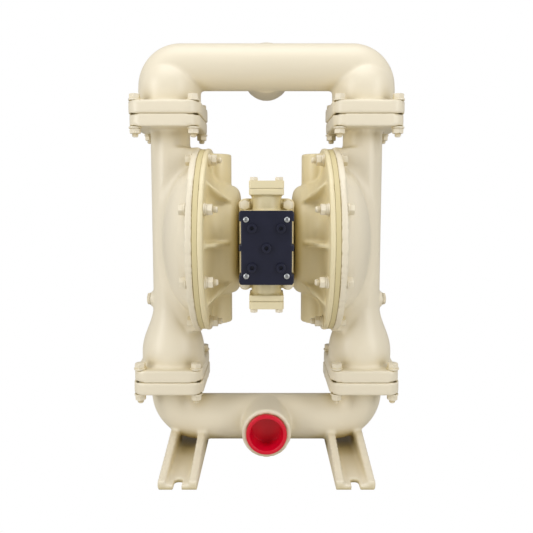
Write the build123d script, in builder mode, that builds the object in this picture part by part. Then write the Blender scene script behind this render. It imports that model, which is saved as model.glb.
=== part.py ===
"""Air operated diaphragm pump with two-inch ports, as its separate pieces.

Millimetres, +Z up. The origin is on the floor under the middle of the pump: X runs along the
diaphragm rod, -Y is the side of the air valve and the suction port, +Y the side of the other ports.
The right-hand (+X) pieces are built and the left-hand ones are their mirror images.
"""

import os
from math import asin, cos, degrees, radians, sin, tan

from build123d import *

os.makedirs("parts", exist_ok=True)

# ---------------------------------------------------------------- layout
riser_x = 149.0  # riser axes from the middle
suction_pipe_z = 49.5  # height of the suction pipe's axis above the floor
suction_leg = 76.0  # from there up to the joint of suction manifold and fluid cap
rod_rise = 211.5  # from that joint up to the diaphragm rod
riser_top = 186.3  # from the rod up to the joint of fluid cap and discharge manifold
discharge_leg = 78.1  # from that joint up to the discharge pipe's axis
lower_joint_z = suction_pipe_z + suction_leg
rod_height = lower_joint_z + rod_rise
upper_joint_z = rod_height + riser_top
discharge_pipe_z = upper_joint_z + discharge_leg

# ---------------------------------------------------------------- bolted manifold flanges
manifold_flange_width = 106.0
manifold_flange_depth = 129.0
manifold_flange_thick = 19.5
cap_flange_width = 104.0
cap_flange_depth = 127.0
cap_flange_thick = 18.0
flange_corner = 20.0
flange_edge = 2.5  # rounding of the flange rims
flange_bolt_dx = 85.0
flange_bolt_dy = 104.0

# ---------------------------------------------------------------- fasteners
bolt_r = 4.0
bolt_clearance = 0.5
bolt_hole_r = bolt_r + bolt_clearance
bolt_head_af = 13.0
bolt_head_high = 6.0
nut_high = 6.5
washer_r = 8.3
washer_thick = 1.8
bolt_end = 4.0  # thread standing out of the nut

# ---------------------------------------------------------------- pipes
pipe_wall = 7.5
suction_pipe_r = 35.5
suction_bend_r = 43.0
discharge_pipe_r = 35.0
discharge_bend_r = 31.0
cage_r = 47.5  # outside of the discharge ball cages
cage_dome_z = upper_joint_z + 42.7  # centre of the cage domes
cage_wall = 7.0
port_thread_r = 28.35  # two-inch pipe thread, at its crests
port_thread_length = 30.0
port_relief = 1.0  # the port narrows by this much beyond its thread
suction_boss_r = 37.2
suction_boss_y = -69.0
discharge_boss_r = 38.0
discharge_boss_y = 76.0

# ---------------------------------------------------------------- feet
foot_x = 123.5
foot_length = 280.0
foot_width = 55.0
foot_plate = 7.4
foot_rail = 11.5
foot_rail_low = 12.4
foot_rail_high = 37.5
foot_rail_flat = 60.0  # length of the high part, under the pipe
foot_slot_width = 11.5
foot_slot_depth = 20.0

# ---------------------------------------------------------------- chambers
chamber_r = 141.0
air_flange_x = 85.3  # inner face of the air cap's flange
air_flange_thick = 7.4
diaphragm_rim_thick = 6.7
fluid_flange_thick = 10.0
bolt_circle_r = 130.0
chamber_bolts = 8
dome_base_x = 104.0  # the dome is half an ellipsoid standing on this plane, inside the flange
dome_depth = 56.0
dome_half_high = 116.0
dome_wall = 8.0
dome_rib_r = 131.0  # where the gussets start on the flange
dome_rib_reach = 23.0
rib_thick = 6.5
diaphragm_x = air_flange_x + air_flange_thick
fluid_flange_x = diaphragm_x + diaphragm_rim_thick
fluid_flange_back_x = fluid_flange_x + fluid_flange_thick

# ---------------------------------------------------------------- risers
riser_r = 30.25
riser_wall = 7.25
inlet_cage_r = 49.0
inlet_cage_z = lower_joint_z + 32.5  # height of the inlet ball chamber's widest ring
inlet_neck_z = lower_joint_z + 111.5  # where its flare meets the riser
inlet_cage_wall = 8.0
riser_plug_z = lower_joint_z + 116.5
riser_boss_r = 11.8
riser_boss_reach = 35.0  # from the riser's axis to the face of the plug's boss
riser_boss_x = riser_x + riser_boss_reach

# ---------------------------------------------------------------- balls and seats
ball_r = 32.0
seat_outer_r = 43.0
seat_contact_r = 27.0
seat_high = 14.0
seat_clearance = 0.1
seat_gap = 0.15  # lift of the stored balls off their seats
oring_r = 1.5

# ---------------------------------------------------------------- rod, plates and diaphragm
rod_r = 11.0
rod_stroke = 18.0  # each way from the middle
running_clearance = 0.05
plate_r = 60.0
inner_plate_thick = 11.0
outer_plate_thick = 14.0
plate_nose_r = 9.0  # flat on the nose of the outer plate
outer_plate_cap = 5.0  # metal left over the rod end
membrane_thick = 5.0
bush_outer_r = 17.0

# ---------------------------------------------------------------- air caps
air_cone_r = 120.0  # outside of the cone at the flange
air_shoulder_x = 55.0
air_shoulder_r = 81.0
hub_x = 41.0  # where the hub meets the centre body
hub_r = 68.0
air_cavity_floor_x = 60.0
air_cavity_floor_r = 72.0
air_cavity_rim_r = 105.0
tower_x = 55.5  # inner side of the vertical tower
tower_y = 12.0
tower_r = 26.0
tower_half_high = 133.0

# ---------------------------------------------------------------- pilot valve
pilot_z = 30.0  # above the rod
pilot_r = 6.5
pilot_half_length = 25.0
pin_r = 4.0
pin_bush_r = 8.0
pilot_ratio = 0.2  # pilot travel for each millimetre of rod travel
pin_gap = 0.3

# ---------------------------------------------------------------- centre body and air valve
center_r = 62.0
pad_y = -66.0
pad_half_width = 37.0
pad_half_high = 64.0
rear_pad_y = 66.0
rear_pad_half_width = 35.0
rear_pad_half_high = 50.0
air_inlet_z = 24.0
air_inlet_r = 12.1
exhaust_z = -21.0
exhaust_r = 15.1
port_depth = 20.0
gasket_thick = 1.5
valve_front_y = -114.0
valve_axis_y = -90.0
valve_width = 72.0
valve_half_high = 48.5
valve_plate_width = 78.0
valve_plate_half_high = 64.5
valve_plate_thick = 14.0
valve_boss_r = 9.0
valve_boss_front_y = -97.0
valve_bolt_dx = 60.0
valve_bolt_dz = 111.0
valve_neck_r = 21.0
valve_end_z = 69.0
valve_end_flange = 9.0
end_cover_side = 48.0
end_cover_thick = 10.0
end_gasket_thick = 0.8
end_bolt_pitch = 35.2
end_bolt_r = 3.0
end_bolt_af = 8.0
end_bolt_head = 5.0
spool_r = 12.0
spool_waist_r = 8.0
spool_half_length = 60.0
sleeve_outer_r = 15.0
sleeve_half_length = 70.0

# ---------------------------------------------------------------- navy valve cover
cover_width = 74.0
cover_high = 98.0
cover_front_y = -134.5
cover_corner = 6.0
cover_relief = 2.6  # depth of the side recesses between the lugs
cover_lug = 14.0
cover_mid_lug = 9.0
cover_screw_dx = 54.5
cover_screw_dz = 79.0
cover_screw_r = 3.8
cover_boss_dx = 40.5
cover_boss_dz = 55.0
cover_boss_r = 6.2
cover_boss_proud = 4.6

# ---------------------------------------------------------------- suction port plug
plug_rim_r = 30.5
plug_rim_thick = 6.0
plug_cup_r = 24.8
plug_depth = 30.0
plug_floor = 3.0
plug_clearance = 0.25

# ---------------------------------------------------------------- planes and axes
rod_axis = Axis((0, 0, rod_height), (1, 0, 0))
riser_axis = Axis((riser_x, 0, 0), (0, 0, 1))
riser_plane = Plane(origin=(riser_x, 0, 0), x_dir=(1, 0, 0), z_dir=(0, -1, 0))


def radial_plane(angle):
    """Plane through the rod axis: its x is along the rod, its y points out at an angle from +Z to -Y."""
    lean = radians(angle)
    return Plane(origin=(0, 0, rod_height), x_dir=(1, 0, 0), z_dir=(0, -cos(lean), -sin(lean)))


def side_plane(x):
    """Plane square to the rod at x: its x is +Y and its y is +Z, with its origin on the rod axis."""
    return Plane(origin=(x, 0, rod_height), x_dir=(0, 1, 0), z_dir=(1, 0, 0))


def front_plane(y):
    """Plane facing the viewer at y: its x is +X and its y is +Z, with its origin level with the rod."""
    return Plane(origin=(0, y, rod_height), x_dir=(1, 0, 0), z_dir=(0, -1, 0))


def bolt_places(radius=bolt_circle_r):
    """Chamber bolt places, half a pitch off the vertical."""
    return PolarLocations(radius, chamber_bolts, start_angle=180 / chamber_bolts)


def finish(piece, name):
    """Labels a finished piece and writes its STEP file."""
    piece.part.label = name
    export_step(piece.part, f"parts/{name}.step")


def mirrored(piece):
    """The left-hand twin of a right-hand piece."""
    with BuildPart() as twin:
        mirror(piece.part, about=Plane.YZ)
    return twin


def pair(piece, name):
    """Writes a right-hand piece and its left-hand twin."""
    finish(piece, f"{name}_right")
    finish(mirrored(piece), f"{name}_left")


def port_bore(pipe_z, face_y):
    """Cuts a tapped port from its face to the middle of the pipe behind it."""
    inward = 1 if face_y > 0 else -1
    for bore_r, depth in ((port_thread_r - port_relief, abs(face_y)), (port_thread_r, port_thread_length)):
        with BuildSketch(front_plane(face_y)) as mouth:
            with Locations((0, pipe_z - rod_height)):
                Circle(bore_r)
        extrude(mouth.sketch, amount=inward * depth, mode=Mode.SUBTRACT)


chamber_plane = radial_plane(0)
fluid_cavity_r = dome_half_high - dome_wall

# ================================================================ fluid caps
with BuildPart() as fluid_cap_right:
    # Round flange and domed chamber
    with BuildSketch(side_plane(fluid_flange_x)):
        Circle(chamber_r)
    extrude(amount=fluid_flange_thick)
    with BuildSketch(chamber_plane):
        with BuildLine():
            EllipticalCenterArc((dome_base_x, 0), dome_depth, dome_half_high, start_angle=0, arc_size=90)
            Polyline(
                (dome_base_x, dome_half_high), (dome_base_x, 0), (dome_base_x + dome_depth, 0)
            )
        make_face()
    revolve(axis=rod_axis)
    # Riser with its inlet ball chamber
    with BuildSketch(riser_plane):
        with BuildLine():
            Polyline(
                (inlet_cage_r, inlet_cage_z),
                (inlet_cage_r, lower_joint_z + 2),
                (0, lower_joint_z + 2),
                (0, upper_joint_z - 2),
                (riser_r, upper_joint_z - 2),
                (riser_r, inlet_neck_z),
            )
            Spline(
                (riser_r, inlet_neck_z),
                (inlet_cage_r, inlet_cage_z),
                tangents=((0, -1), (0, -1)),
            )
        make_face()
    revolve(axis=riser_axis)
    # Flat web between the riser and the round flange, flush with the riser's sides
    with BuildSketch(Plane.XY.offset(rod_height - chamber_r)):
        with Locations(((fluid_flange_x + 1 + riser_x) / 2, 0)):
            Rectangle(riser_x - fluid_flange_x - 1, 2 * riser_r)
    extrude(amount=2 * chamber_r)
    # Bolted flanges at both ends of the riser
    for flange_z in (lower_joint_z, upper_joint_z - cap_flange_thick):
        with BuildSketch(Plane.XY.offset(flange_z)):
            with Locations((riser_x, 0)):
                RectangleRounded(cap_flange_width, cap_flange_depth, flange_corner)
        extrude(amount=cap_flange_thick)
    # Gussets between the bolts
    for rib_angle in (45, 90, 135, 225, 270, 315):
        with BuildSketch(radial_plane(rib_angle)):
            with BuildLine():
                Polyline(
                    (fluid_flange_back_x - 1, dome_rib_r),
                    (fluid_flange_back_x - 1, dome_half_high - 25),
                    (fluid_flange_back_x + dome_rib_reach, dome_half_high - 25),
                    close=True,
                )
            make_face()
        extrude(amount=rib_thick / 2, both=True)
    # Plug boss on the outer side
    with BuildSketch(Plane.YZ.offset(riser_x)):
        with Locations((0, riser_plug_z)):
            Circle(riser_boss_r)
    extrude(amount=riser_boss_x - riser_x)
    # Passages: diaphragm chamber, riser bore, ball chamber and seat pocket
    with BuildSketch(chamber_plane):
        cavity_depth = dome_base_x + dome_depth - dome_wall - fluid_flange_x
        with BuildLine():
            EllipticalCenterArc((fluid_flange_x, 0), cavity_depth, fluid_cavity_r, start_angle=0, arc_size=90)
            Polyline(
                (fluid_flange_x, fluid_cavity_r),
                (fluid_flange_x, 0),
                (fluid_flange_x + cavity_depth, 0),
            )
        make_face()
    revolve(axis=rod_axis, mode=Mode.SUBTRACT)
    with BuildSketch(riser_plane):
        with BuildLine():
            Polyline(
                (0, lower_joint_z),
                (seat_outer_r, lower_joint_z),
                (seat_outer_r, lower_joint_z + seat_high),
                (inlet_cage_r - inlet_cage_wall, lower_joint_z + seat_high),
                (inlet_cage_r - inlet_cage_wall, inlet_cage_z + 12),
                (riser_r - riser_wall, inlet_neck_z - 24),
                (riser_r - riser_wall, upper_joint_z),
                (0, upper_joint_z),
                close=True,
            )
        make_face()
    revolve(axis=riser_axis, mode=Mode.SUBTRACT)
    # Bolt holes and the tapped plug hole
    for flange_z in (lower_joint_z, upper_joint_z - cap_flange_thick):
        with BuildSketch(Plane.XY.offset(flange_z)):
            with Locations((riser_x, 0)):
                with GridLocations(flange_bolt_dx, flange_bolt_dy, 2, 2):
                    Circle(bolt_hole_r)
        extrude(amount=cap_flange_thick, mode=Mode.SUBTRACT)
    with BuildSketch(side_plane(fluid_flange_x)):
        with bolt_places():
            Circle(bolt_hole_r)
    extrude(amount=fluid_flange_thick, mode=Mode.SUBTRACT)
    with BuildSketch(Plane.YZ.offset(riser_x)):
        with Locations((0, riser_plug_z)):
            Circle(riser_boss_r / 2)
    extrude(amount=riser_boss_x - riser_x, mode=Mode.SUBTRACT)
pair(fluid_cap_right, "fluid_cap")

# ================================================================ air caps
with BuildPart() as air_cap_right:
    with BuildSketch(chamber_plane):
        with BuildLine():
            Polyline(
                (hub_x, 0),
                (hub_x, hub_r),
                (air_shoulder_x, air_shoulder_r),
                (air_flange_x, air_cone_r),
                (air_flange_x, chamber_r),
                (diaphragm_x, chamber_r),
                (diaphragm_x, 0),
                close=True,
            )
        make_face()
    revolve(axis=rod_axis)
    # Vertical tower behind the cone
    with BuildSketch(Plane.XY.offset(rod_height - tower_half_high)):
        with BuildLine():
            Polyline(
                (tower_x + tower_r, tower_y + tower_r),
                (air_flange_x + 1, tower_y + tower_r),
                (air_flange_x + 1, tower_y - tower_r),
                (tower_x + tower_r, tower_y - tower_r),
            )
            ThreePointArc(
                (tower_x + tower_r, tower_y - tower_r),
                (tower_x, tower_y),
                (tower_x + tower_r, tower_y + tower_r),
            )
        make_face()
    extrude(amount=2 * tower_half_high)
    # Ribs from the flange to the hub
    for rib_angle in (45, 90, 135, 225, 270, 315):
        with BuildSketch(radial_plane(rib_angle)):
            with BuildLine():
                Polyline(
                    (air_flange_x + 1, chamber_r - 14),
                    (air_flange_x + 1, air_shoulder_r),
                    (hub_x + 4, hub_r - 10),
                    (hub_x + 6, hub_r + 7),
                    close=True,
                )
            make_face()
        extrude(amount=rib_thick / 2, both=True)
    # Air chamber
    with BuildSketch(chamber_plane):
        with BuildLine():
            Polyline(
                (air_cavity_floor_x, 0),
                (air_cavity_floor_x, air_cavity_floor_r),
                (diaphragm_x - 4, air_cavity_rim_r),
                (diaphragm_x + 20, air_cavity_rim_r),
                (diaphragm_x + 20, 0),
                close=True,
            )
        make_face()
    revolve(axis=rod_axis, mode=Mode.SUBTRACT)
    # Bush holes and bolt holes
    with BuildSketch(side_plane(hub_x)):
        Circle(bush_outer_r)
        with Locations((0, pilot_z)):
            Circle(pin_bush_r)
    extrude(amount=air_cavity_floor_x - hub_x, mode=Mode.SUBTRACT)
    with BuildSketch(side_plane(air_flange_x - 12)):
        with bolt_places():
            Circle(bolt_hole_r)
    extrude(amount=air_flange_thick + 12, mode=Mode.SUBTRACT)
pair(air_cap_right, "air_cap")

# ================================================================ diaphragms
membrane_x = (diaphragm_x + fluid_flange_x) / 2  # middle of the clamped rim
roll_low_r = plate_r + 4
roll_high_r = fluid_cavity_r - 6
with BuildPart() as diaphragm_right:
    with BuildSketch(chamber_plane):
        half = membrane_thick / 2
        roll_r = (roll_high_r - roll_low_r) / 2
        roll_mid = (roll_high_r + roll_low_r) / 2
        with BuildLine():
            Polyline((membrane_x - half, roll_low_r), (membrane_x - half, rod_r + 0.1))
            Line((membrane_x - half, rod_r + 0.1), (membrane_x + half, rod_r + 0.1))
            Line((membrane_x + half, rod_r + 0.1), (membrane_x + half, roll_low_r))
            ThreePointArc(
                (membrane_x + half, roll_low_r),
                (membrane_x + half - 7, roll_mid),
                (membrane_x + half, roll_high_r),
            )
            Polyline(
                (membrane_x + half, roll_high_r),
                (fluid_flange_x, roll_high_r + 1),
                (fluid_flange_x, chamber_r - 1),
                (diaphragm_x, chamber_r - 1),
                (diaphragm_x, roll_high_r + 3),
                (membrane_x - half, roll_high_r),
            )
            ThreePointArc(
                (membrane_x - half, roll_high_r),
                (membrane_x - half - 7, roll_mid),
                (membrane_x - half, roll_low_r),
            )
        make_face()
    revolve(axis=rod_axis)
    with BuildSketch(side_plane(diaphragm_x)):
        with bolt_places():
            Circle(bolt_hole_r)
    extrude(amount=diaphragm_rim_thick, mode=Mode.SUBTRACT)
pair(diaphragm_right, "diaphragm")

# ================================================================ rod and diaphragm plates
inner_plate_x = membrane_x - membrane_thick / 2 - inner_plate_thick
outer_plate_x = membrane_x + membrane_thick / 2
rod_shoulder_r = 8.0
with BuildPart() as inner_plate_right:
    with BuildSketch(chamber_plane):
        with BuildLine():
            Polyline(
                (inner_plate_x, rod_shoulder_r),
                (inner_plate_x, plate_r - 8),
                (inner_plate_x + inner_plate_thick - 3, plate_r),
                (inner_plate_x + inner_plate_thick, plate_r - 2),
                (inner_plate_x + inner_plate_thick, rod_shoulder_r),
                close=True,
            )
        make_face()
    revolve(axis=rod_axis)
pair(inner_plate_right, "inner_plate")

with BuildPart() as outer_plate_right:
    plate_tip_x = outer_plate_x + outer_plate_thick
    with BuildSketch(chamber_plane):
        with BuildLine():
            Polyline(
                (plate_tip_x, 0),
                (plate_tip_x - outer_plate_cap, 0),
                (plate_tip_x - outer_plate_cap, rod_shoulder_r),
                (outer_plate_x, rod_shoulder_r),
                (outer_plate_x, plate_r - 2),
                (outer_plate_x + 2, plate_r),
                (outer_plate_x + 4, plate_r - 1),
            )
            ThreePointArc(
                (outer_plate_x + 4, plate_r - 1),
                (outer_plate_x + outer_plate_thick * 0.78, plate_r / 2),
                (plate_tip_x, plate_nose_r),
            )
            Line((plate_tip_x, plate_nose_r), (plate_tip_x, 0))
        make_face()
    revolve(axis=rod_axis)
pair(outer_plate_right, "outer_plate")

with BuildPart() as diaphragm_rod:
    with BuildSketch(side_plane(-inner_plate_x)):
        Circle(rod_r)
    extrude(amount=2 * inner_plate_x)
    rod_end_x = outer_plate_x + outer_plate_thick - outer_plate_cap
    with BuildSketch(side_plane(-rod_end_x)):
        Circle(rod_shoulder_r)
    extrude(amount=2 * rod_end_x)
finish(diaphragm_rod, "diaphragm_rod")

with BuildPart() as rod_bushes:
    for bush_x in (hub_x, -air_cavity_floor_x):
        with BuildSketch(side_plane(bush_x)):
            Circle(bush_outer_r)
            Circle(rod_r + running_clearance, mode=Mode.SUBTRACT)
        extrude(amount=air_cavity_floor_x - hub_x)
finish(rod_bushes, "rod_bushes")

# ================================================================ pilot valve
pin_tip_x = inner_plate_x - rod_stroke * (1 - pilot_ratio) - pin_gap
with BuildPart() as pilot_spool:
    with BuildSketch(side_plane(-pilot_half_length)):
        with Locations((0, pilot_z)):
            Circle(pilot_r)
    extrude(amount=2 * pilot_half_length)
    for groove_x in (-pilot_half_length / 2 - 4, pilot_half_length / 2 - 4):
        with BuildSketch(side_plane(groove_x)):
            with Locations((0, pilot_z)):
                Circle(pilot_r)
                Circle(pilot_r - 2.5, mode=Mode.SUBTRACT)
        extrude(amount=8, mode=Mode.SUBTRACT)
finish(pilot_spool, "pilot_spool")

with BuildPart() as pilot_pin_right:
    with BuildSketch(side_plane(pilot_half_length)):
        with Locations((0, pilot_z)):
            Circle(pin_r)
    extrude(amount=pin_tip_x - pilot_half_length)
    chamfer(pilot_pin_right.faces().sort_by(Axis.X)[-1].edges(), 0.8)
pair(pilot_pin_right, "pilot_pin")

with BuildPart() as pilot_bushes:
    for bush_x in (hub_x, -air_cavity_floor_x):
        with BuildSketch(side_plane(bush_x)):
            with Locations((0, pilot_z)):
                Circle(pin_bush_r)
                Circle(pin_r + running_clearance, mode=Mode.SUBTRACT)
        extrude(amount=air_cavity_floor_x - hub_x)
finish(pilot_bushes, "pilot_bushes")

# ================================================================ centre body
with BuildPart() as center_body:
    with BuildSketch(side_plane(-hub_x)):
        Circle(center_r)
    extrude(amount=2 * hub_x)
    with BuildSketch(front_plane(pad_y)):
        RectangleRounded(2 * pad_half_width, 2 * pad_half_high, 8)
    extrude(amount=pad_y)
    with BuildSketch(front_plane(rear_pad_y)):
        RectangleRounded(2 * rear_pad_half_width, 2 * rear_pad_half_high, 8)
    extrude(amount=rear_pad_y)
    # Rod and pilot bores
    with BuildSketch(side_plane(-hub_x)):
        Circle(rod_r + 1)
        with Locations((0, pilot_z)):
            Circle(pilot_r + running_clearance)
    extrude(amount=2 * hub_x, mode=Mode.SUBTRACT)
    # Air inlet and exhaust in the rear face
    for port_z, port_r in ((air_inlet_z, air_inlet_r), (exhaust_z, exhaust_r)):
        with BuildSketch(front_plane(rear_pad_y)):
            with Locations((0, port_z)):
                Circle(port_r)
        extrude(amount=port_depth, mode=Mode.SUBTRACT)
    # Tapped holes for the valve
    with BuildSketch(front_plane(pad_y)):
        with GridLocations(valve_bolt_dx, valve_bolt_dz, 2, 2):
            Circle(bolt_r)
    extrude(amount=-16, mode=Mode.SUBTRACT)
finish(center_body, "center_body")

# ================================================================ air valve
valve_back_y = pad_y - gasket_thick
with BuildPart() as valve_gasket:
    with BuildSketch(front_plane(pad_y)):
        RectangleRounded(2 * pad_half_width, 2 * pad_half_high, 8)
        with GridLocations(valve_bolt_dx, valve_bolt_dz, 2, 2):
            Circle(bolt_hole_r, mode=Mode.SUBTRACT)
        Rectangle(28, 60, mode=Mode.SUBTRACT)
    extrude(amount=gasket_thick)
finish(valve_gasket, "valve_gasket")

with BuildPart() as valve_body:
    with BuildSketch(front_plane(valve_back_y)):
        RectangleRounded(valve_width, 2 * valve_half_high, 5)
    extrude(amount=valve_back_y - valve_front_y)
    with BuildSketch(front_plane(valve_back_y)):
        RectangleRounded(valve_plate_width, 2 * valve_plate_half_high, valve_boss_r)
    extrude(amount=valve_plate_thick)
    with BuildSketch(front_plane(valve_back_y)):
        with GridLocations(valve_bolt_dx, valve_bolt_dz, 2, 2):
            Circle(valve_boss_r)
    extrude(amount=valve_back_y - valve_boss_front_y)
    # Round neck and the square flanges for the end covers
    with BuildSketch(Plane.XY.offset(rod_height - valve_end_z)):
        with Locations((0, valve_axis_y)):
            Circle(valve_neck_r)
    extrude(amount=2 * valve_end_z)
    for end_z in (rod_height + valve_end_z, rod_height - valve_end_z - valve_end_flange):
        with BuildSketch(Plane.XY.offset(end_z)):
            with Locations((0, valve_axis_y)):
                RectangleRounded(end_cover_side, end_cover_side, 4)
        extrude(amount=valve_end_flange)
    # Spool bore, valve bolt holes and end cover holes
    with BuildSketch(Plane.XY.offset(rod_height - valve_end_z - valve_end_flange)):
        with Locations((0, valve_axis_y)):
            Circle(sleeve_outer_r)
            with GridLocations(end_bolt_pitch, end_bolt_pitch, 2, 2):
                Circle(end_bolt_r)
    extrude(amount=valve_end_flange, mode=Mode.SUBTRACT)
    with BuildSketch(Plane.XY.offset(rod_height + valve_end_z)):
        with Locations((0, valve_axis_y)):
            with GridLocations(end_bolt_pitch, end_bolt_pitch, 2, 2):
                Circle(end_bolt_r)
    extrude(amount=valve_end_flange, mode=Mode.SUBTRACT)
    with BuildSketch(Plane.XY.offset(rod_height - valve_end_z)):
        with Locations((0, valve_axis_y)):
            Circle(sleeve_outer_r)
    extrude(amount=2 * valve_end_z + valve_end_flange, mode=Mode.SUBTRACT)
    with BuildSketch(front_plane(valve_back_y)):
        with GridLocations(valve_bolt_dx, valve_bolt_dz, 2, 2):
            Circle(bolt_hole_r)
    extrude(amount=valve_back_y - valve_boss_front_y, mode=Mode.SUBTRACT)
    with BuildSketch(front_plane(valve_front_y)):
        with GridLocations(cover_screw_dx, cover_screw_dz, 2, 2):
            Circle(2)
    extrude(amount=-12, mode=Mode.SUBTRACT)
finish(valve_body, "valve_body")

with BuildPart() as valve_sleeve:
    with BuildSketch(Plane.XY.offset(rod_height - sleeve_half_length)):
        with Locations((0, valve_axis_y)):
            Circle(sleeve_outer_r)
            Circle(spool_r + running_clearance, mode=Mode.SUBTRACT)
    extrude(amount=2 * sleeve_half_length)
finish(valve_sleeve, "valve_sleeve")

spool_axis = Axis((0, valve_axis_y, 0), (0, 0, 1))
with BuildPart() as valve_spool:
    with BuildSketch(Plane(origin=(0, valve_axis_y, rod_height), x_dir=(1, 0, 0), z_dir=(0, -1, 0))):
        land = spool_half_length / 6
        with BuildLine():
            Polyline(
                (0, -spool_half_length),
                (spool_r, -spool_half_length),
                (spool_r, -4 * land),
                (spool_waist_r, -4 * land),
                (spool_waist_r, -land),
                (spool_r, -land),
                (spool_r, land),
                (spool_waist_r, land),
                (spool_waist_r, 4 * land),
                (spool_r, 4 * land),
                (spool_r, spool_half_length),
                (0, spool_half_length),
                close=True,
            )
        make_face()
    revolve(axis=spool_axis)
finish(valve_spool, "valve_spool")

end_seat_z = valve_end_z + valve_end_flange
for end_name, up in (("top", 1), ("bottom", -1)):
    with BuildPart() as end_gasket:
        with BuildSketch(Plane.XY.offset(rod_height + up * end_seat_z)):
            with Locations((0, valve_axis_y)):
                RectangleRounded(end_cover_side - 1, end_cover_side - 1, 4)
                Circle(sleeve_outer_r, mode=Mode.SUBTRACT)
                with GridLocations(end_bolt_pitch, end_bolt_pitch, 2, 2):
                    Circle(end_bolt_r + 0.2, mode=Mode.SUBTRACT)
        extrude(amount=up * end_gasket_thick)
    finish(end_gasket, f"end_gasket_{end_name}")
    with BuildPart() as end_cover:
        with BuildSketch(Plane.XY.offset(rod_height + up * (end_seat_z + end_gasket_thick))):
            with Locations((0, valve_axis_y)):
                RectangleRounded(end_cover_side, end_cover_side, 4)
                with GridLocations(end_bolt_pitch, end_bolt_pitch, 2, 2):
                    Circle(end_bolt_r + 0.2, mode=Mode.SUBTRACT)
        extrude(amount=up * end_cover_thick)
    finish(end_cover, f"end_cover_{end_name}")

end_cover_face_z = end_seat_z + end_gasket_thick + end_cover_thick
with BuildPart() as end_cover_bolts:
    for up in (1, -1):
        with BuildSketch(Plane.XY.offset(rod_height + up * end_cover_face_z)):
            with Locations((0, valve_axis_y)):
                with GridLocations(end_bolt_pitch, end_bolt_pitch, 2, 2):
                    RegularPolygon(end_bolt_af / 2, 6, major_radius=False)
        extrude(amount=up * end_bolt_head)
        with BuildSketch(Plane.XY.offset(rod_height + up * end_cover_face_z)):
            with Locations((0, valve_axis_y)):
                with GridLocations(end_bolt_pitch, end_bolt_pitch, 2, 2):
                    Circle(end_bolt_r)
        extrude(amount=-up * (end_cover_thick + end_gasket_thick + valve_end_flange))
finish(end_cover_bolts, "end_cover_bolts")

with BuildPart() as valve_bolts:
    with BuildSketch(front_plane(valve_boss_front_y)):
        with GridLocations(valve_bolt_dx, valve_bolt_dz, 2, 2):
            RegularPolygon(bolt_head_af / 2, 6, major_radius=False)
    extrude(amount=bolt_head_high)
    with BuildSketch(front_plane(valve_boss_front_y)):
        with GridLocations(valve_bolt_dx, valve_bolt_dz, 2, 2):
            Circle(bolt_r)
    extrude(amount=valve_boss_front_y - pad_y - 15)
finish(valve_bolts, "valve_bolts")

# ================================================================ valve cover
with BuildPart() as valve_cover:
    with BuildSketch(front_plane(valve_front_y)):
        RectangleRounded(cover_width, cover_high, cover_corner)
    extrude(amount=valve_front_y - cover_front_y)
    # Side recesses between the corner lugs and the middle lug
    recess_high = (cover_high - 2 * cover_lug - cover_mid_lug) / 2
    recess_z = (cover_mid_lug + recess_high) / 2
    with BuildSketch(front_plane(valve_front_y)):
        with GridLocations(cover_width, 2 * recess_z, 2, 2):
            Rectangle(2 * cover_relief, recess_high)
    extrude(amount=valve_front_y - cover_front_y, mode=Mode.SUBTRACT)
    fillet(valve_cover.faces().sort_by(Axis.Y)[0].outer_wire().edges(), 1.8)
    with BuildSketch(front_plane(cover_front_y)):
        with GridLocations(cover_screw_dx, cover_screw_dz, 2, 2):
            Circle(2)
    extrude(amount=-(valve_front_y - cover_front_y), mode=Mode.SUBTRACT)
    with BuildSketch(front_plane(cover_front_y)):
        with GridLocations(cover_boss_dx, cover_boss_dz, 2, 2):
            Circle(3)
        Circle(3)
    extrude(amount=-8, mode=Mode.SUBTRACT)
finish(valve_cover, "valve_cover")

with BuildPart() as cover_screws:
    with BuildSketch(front_plane(cover_front_y)):
        with GridLocations(cover_screw_dx, cover_screw_dz, 2, 2):
            Circle(cover_screw_r)
    extrude(amount=2.2)
    with BuildSketch(front_plane(cover_front_y)):
        with GridLocations(cover_screw_dx, cover_screw_dz, 2, 2):
            Circle(2)
    extrude(amount=-(valve_front_y - cover_front_y) - 10)
finish(cover_screws, "cover_screws")

with BuildPart() as cover_bosses:
    with BuildSketch(front_plane(cover_front_y)):
        with GridLocations(cover_boss_dx, cover_boss_dz, 2, 2):
            Circle(cover_boss_r)
        Circle(cover_boss_r)
    extrude(amount=cover_boss_proud)
    with BuildSketch(front_plane(cover_front_y - cover_boss_proud)):
        with GridLocations(cover_boss_dx, cover_boss_dz, 2, 2):
            RegularPolygon(2.5, 6, major_radius=False)
        RegularPolygon(2.5, 6, major_radius=False)
    extrude(amount=-3.2, mode=Mode.SUBTRACT)
    with BuildSketch(front_plane(cover_front_y)):
        with GridLocations(cover_boss_dx, cover_boss_dz, 2, 2):
            Circle(3)
        Circle(3)
    extrude(amount=-8)
finish(cover_bosses, "cover_bosses")

# ================================================================ suction manifold with its feet
leg_top_z = lower_joint_z - manifold_flange_thick
bend_top_z = suction_pipe_z + suction_bend_r
bend_x = riser_x - suction_bend_r
suction_bend_axis = Axis((bend_x, 0, bend_top_z), (0, -1, 0))


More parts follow.
